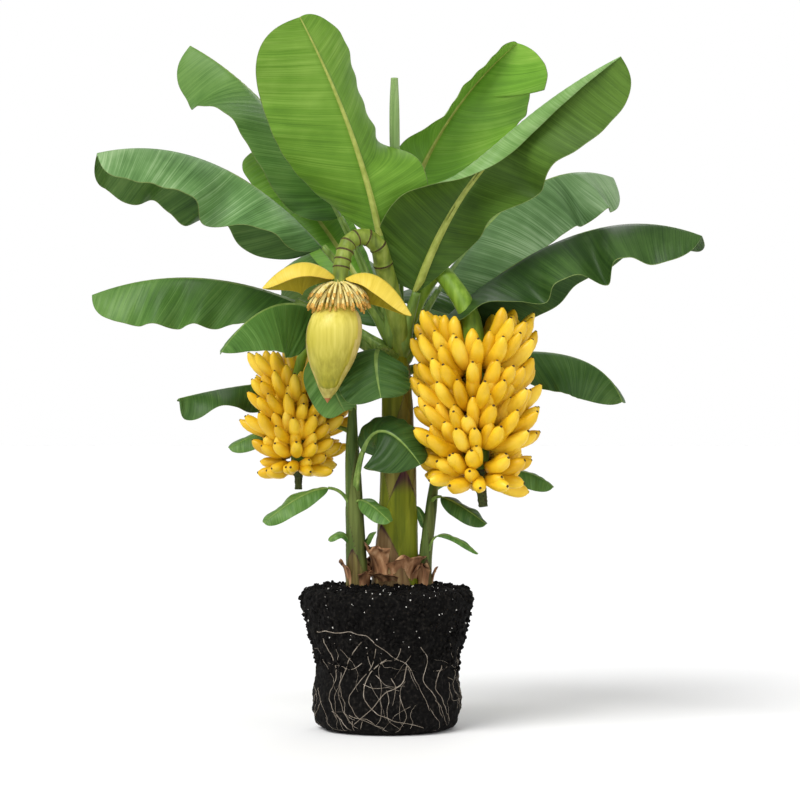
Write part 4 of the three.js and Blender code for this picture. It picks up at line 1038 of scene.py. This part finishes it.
def soil_surface(share, angle):
    """A point on the root ball at a share of its outline and an angle, and the way out there."""
    columns = np.concatenate([SOIL_OUTLINE, SOIL_SLOPE], 1).T
    radius, height, inward, up = (np.interp(share, SOIL_SHARES, column) for column in columns)
    point = radius * level(angle) + height * UP
    out = up * level(angle) - inward * UP
    return point + out * lump_height(point), out


def soil_share_at(height):
    """The share of the root ball's outline, up its side, at a height."""
    side = SOIL_OUTLINE[:, 1] < SOIL_SIDE_HEIGHT
    return float(np.interp(height, SOIL_OUTLINE[side, 1], SOIL_SHARES[side]))


def make_root_ball():
    """Lumpy soil on a flat foot."""
    radius, height = SOIL_OUTLINE[:, :1], SOIL_OUTLINE[:, 1:]
    inward, up = SOIL_SLOPE[:, :1], SOIL_SLOPE[:, 1:]
    angle = full_turn(SOIL_SIDES)
    rings = ring_points(radius, angle, height)
    lumps = np.array([[lump_height(point) for point in row] for row in rings])
    lumps = lumps * np.minimum(1, height / FLAT_FOOT_HEIGHT)
    rings += ring_points(up, angle, -inward) * lumps[..., None]
    make_piece("root_ball", [SOIL], ["root_ball"], rings)


def lump_rings(centre, size):
    """A small uneven grain."""
    turn = full_turn(LUMP_SIDES)
    height = np.array(LUMP_HEIGHTS)[:, None]
    grain = ring_points(np.sqrt(1 - height ** 2), turn, height)
    uneven = random.uniform(*LUMP_UNEVENNESS, (len(height), LUMP_SIDES, 1))
    return centre + grain * size * uneven * random.uniform(*LUMP_STRETCH, 3)


def make_crumbs():
    """Crumbs of soil and pale grains on the root ball, the grains mostly near its top."""
    crumbs, grains = Shape(), Shape()
    for _ in range(CRUMBS):
        point, out = soil_surface(random.uniform(*CRUMB_SHARES), random.uniform(0, 2 * math.pi))
        crumbs.add(lump_rings(point + out, lerp(*CRUMB_SIZES, random.uniform(0, 1) ** 3)))
    for _ in range(GRAINS):
        share = GRAIN_START + GRAIN_SPAN * random.uniform(0, 1) ** GRAIN_CROWDING
        point, out = soil_surface(share, random.uniform(0, 2 * math.pi))
        grains.add(lump_rings(point + GRAIN_LIFT * out, random.uniform(*GRAIN_SIZES)))
    crumbs.piece("soil_crumbs", [SOIL], [], "soil")
    grains.piece("pale_grains", [GRAIN], [], "soil")


def root_rings(places, radius):
    """A root that lies on the root ball through places given by angle and height."""
    given = [(angle * MM_FOR_DEGREE, height, 0) for angle, height in places]
    points = []
    for across, height, _ in smooth_path(given, np.linspace(0, 1, ROOT_STEPS * len(places))):
        spot = Vector((across / WANDER_LENGTH, height / WANDER_LENGTH, radius))
        share = soil_share_at(max(LOWEST_ROOT, height + ROOT_WANDER * noise.noise(spot)))
        point, out = soil_surface(share, math.radians(across / MM_FOR_DEGREE))
        points.append(point + out * (ROOT_LIFT * radius))
    return tube(np.array(points), radius * np.linspace(1, ROOT_TAPER, len(points)), ROOT_SIDES)


def make_roots():
    """Roots that show on the sides of the root ball: long ones in front, others all round."""
    shape = Shape()
    for places in LONG_ROOTS:
        shape.add(root_rings(places, random.uniform(*LONG_ROOT_RADII)))
    for _ in range(LOOSE_ROOTS):
        angle, height = random.uniform(0, 360), random.uniform(*LOOSE_HEIGHTS)
        heading = random.uniform(*LOOSE_HEADINGS)
        places = [(angle, height)]
        for _ in range(random.integers(*LOOSE_BENDS)):
            heading += random.normal(0, LOOSE_BEND)
            angle += LOOSE_DEGREES * math.cos(heading) * random.uniform(*LOOSE_STRETCH)
            height = max(LOWEST_LOOSE_ROOT, height + LOOSE_RISE * math.sin(heading))
            places.append((angle, height))
        shape.add(root_rings(places, random.uniform(*LOOSE_ROOT_RADII)))
    shape.piece("surface_roots", [ROOT_SKIN], [], "stem")


# Camera, floor and light
def make_camera():
    data = bpy.data.cameras.new("camera")
    data.lens = CAMERA_LENS
    data.sensor_width = SENSOR_WIDTH
    data.clip_end = 100
    camera = add_object("camera", data)
    camera.location = [value * MM for value in CAMERA_PLACE]
    camera.rotation_euler = (math.pi / 2, 0, 0)
    bpy.context.scene.camera = camera


def make_floor():
    mesh = bpy.data.meshes.new("floor")
    reach = 40
    corners = [(-reach, -reach, 0), (reach, -reach, 0), (reach, reach, 0), (-reach, reach, 0)]
    mesh.from_pydata(corners, [], [(0, 1, 2, 3)])
    floor = add_object("floor", mesh)
    made, _, shader = start_material("floor", 0.8, 0.1)
    shader.inputs["Base Color"].default_value = (0.92, 0.92, 0.92, 1)
    mesh.materials.append(made)


def make_light(name, kind, place, target, size, power):
    """size is the angle of a sun and the width of any other light."""
    data = bpy.data.lights.new(name, kind)
    data.energy = power
    if kind == "SUN":
        data.angle = size
    else:
        data.shape = "DISK"
        data.size = size
    light = add_object(name, data)
    light.location = place
    light.rotation_euler = (Vector(target) - Vector(place)).to_track_quat("-Z", "Y").to_euler()


def make_studio():
    """White walls all round, a dimmer ceiling, a soft key light from the upper left and two weak lights."""
    world = bpy.data.worlds.new("studio")
    bpy.context.scene.world = world
    world.use_nodes = True
    tree = world.node_tree
    direction = add(tree, "TexCoord").outputs["Generated"]
    height = add(tree, "SeparateXYZ", {"Vector": direction}).outputs["Z"]
    sky = ramp(tree, height, ((0.0, "ffffff"), (0.2, "ffffff"), (0.5, "bcbcbc"), (1.0, "bcbcbc")))
    tree.links.new(sky, tree.nodes["Background"].inputs["Color"])
    make_light("key", "SUN", (-2.4, -3.2, 4.4), (0, 0, 0), math.radians(35), 2.4)
    make_light("fill", "AREA", (3.2, -3.0, 2.2), (0, 0, 0.9), 2.4, 20)
    make_light("rim", "AREA", (0.6, 3.2, 3.6), (0, 0, 1.3), 2.0, 25)
    bpy.context.scene.view_settings.view_transform = "Standard"


make_camera()
make_floor()
make_studio()
make_root_ball()
make_crumbs()
make_roots()
make_stem("main_stem", MAIN_STEM, MAIN_STEM_SKIN)
make_stem("left_sucker", LEFT_SUCKER, SUCKER_SKIN)
make_stem("right_sucker", RIGHT_SUCKER, SUCKER_SKIN)
for node, torn in DRY_SHEATHS.items():
    make_dry_sheaths(node, **torn)
make_flower_stalk()
make_spear()
make_bud()
make_fringe()
for bunch in (RIGHT_BUNCH, LEFT_BUNCH):
    make_bunch_stalk(bunch)
    for tier in range(bunch["tiers"]):
        make_hand(bunch, tier)
for each in LARGE_LEAVES:
    make_leaf(each, LARGE_ROWS, LARGE_COLUMNS)
for each in SMALL_LEAVES + BRACTS:
    make_leaf(each, SMALL_ROWS, SMALL_COLUMNS)
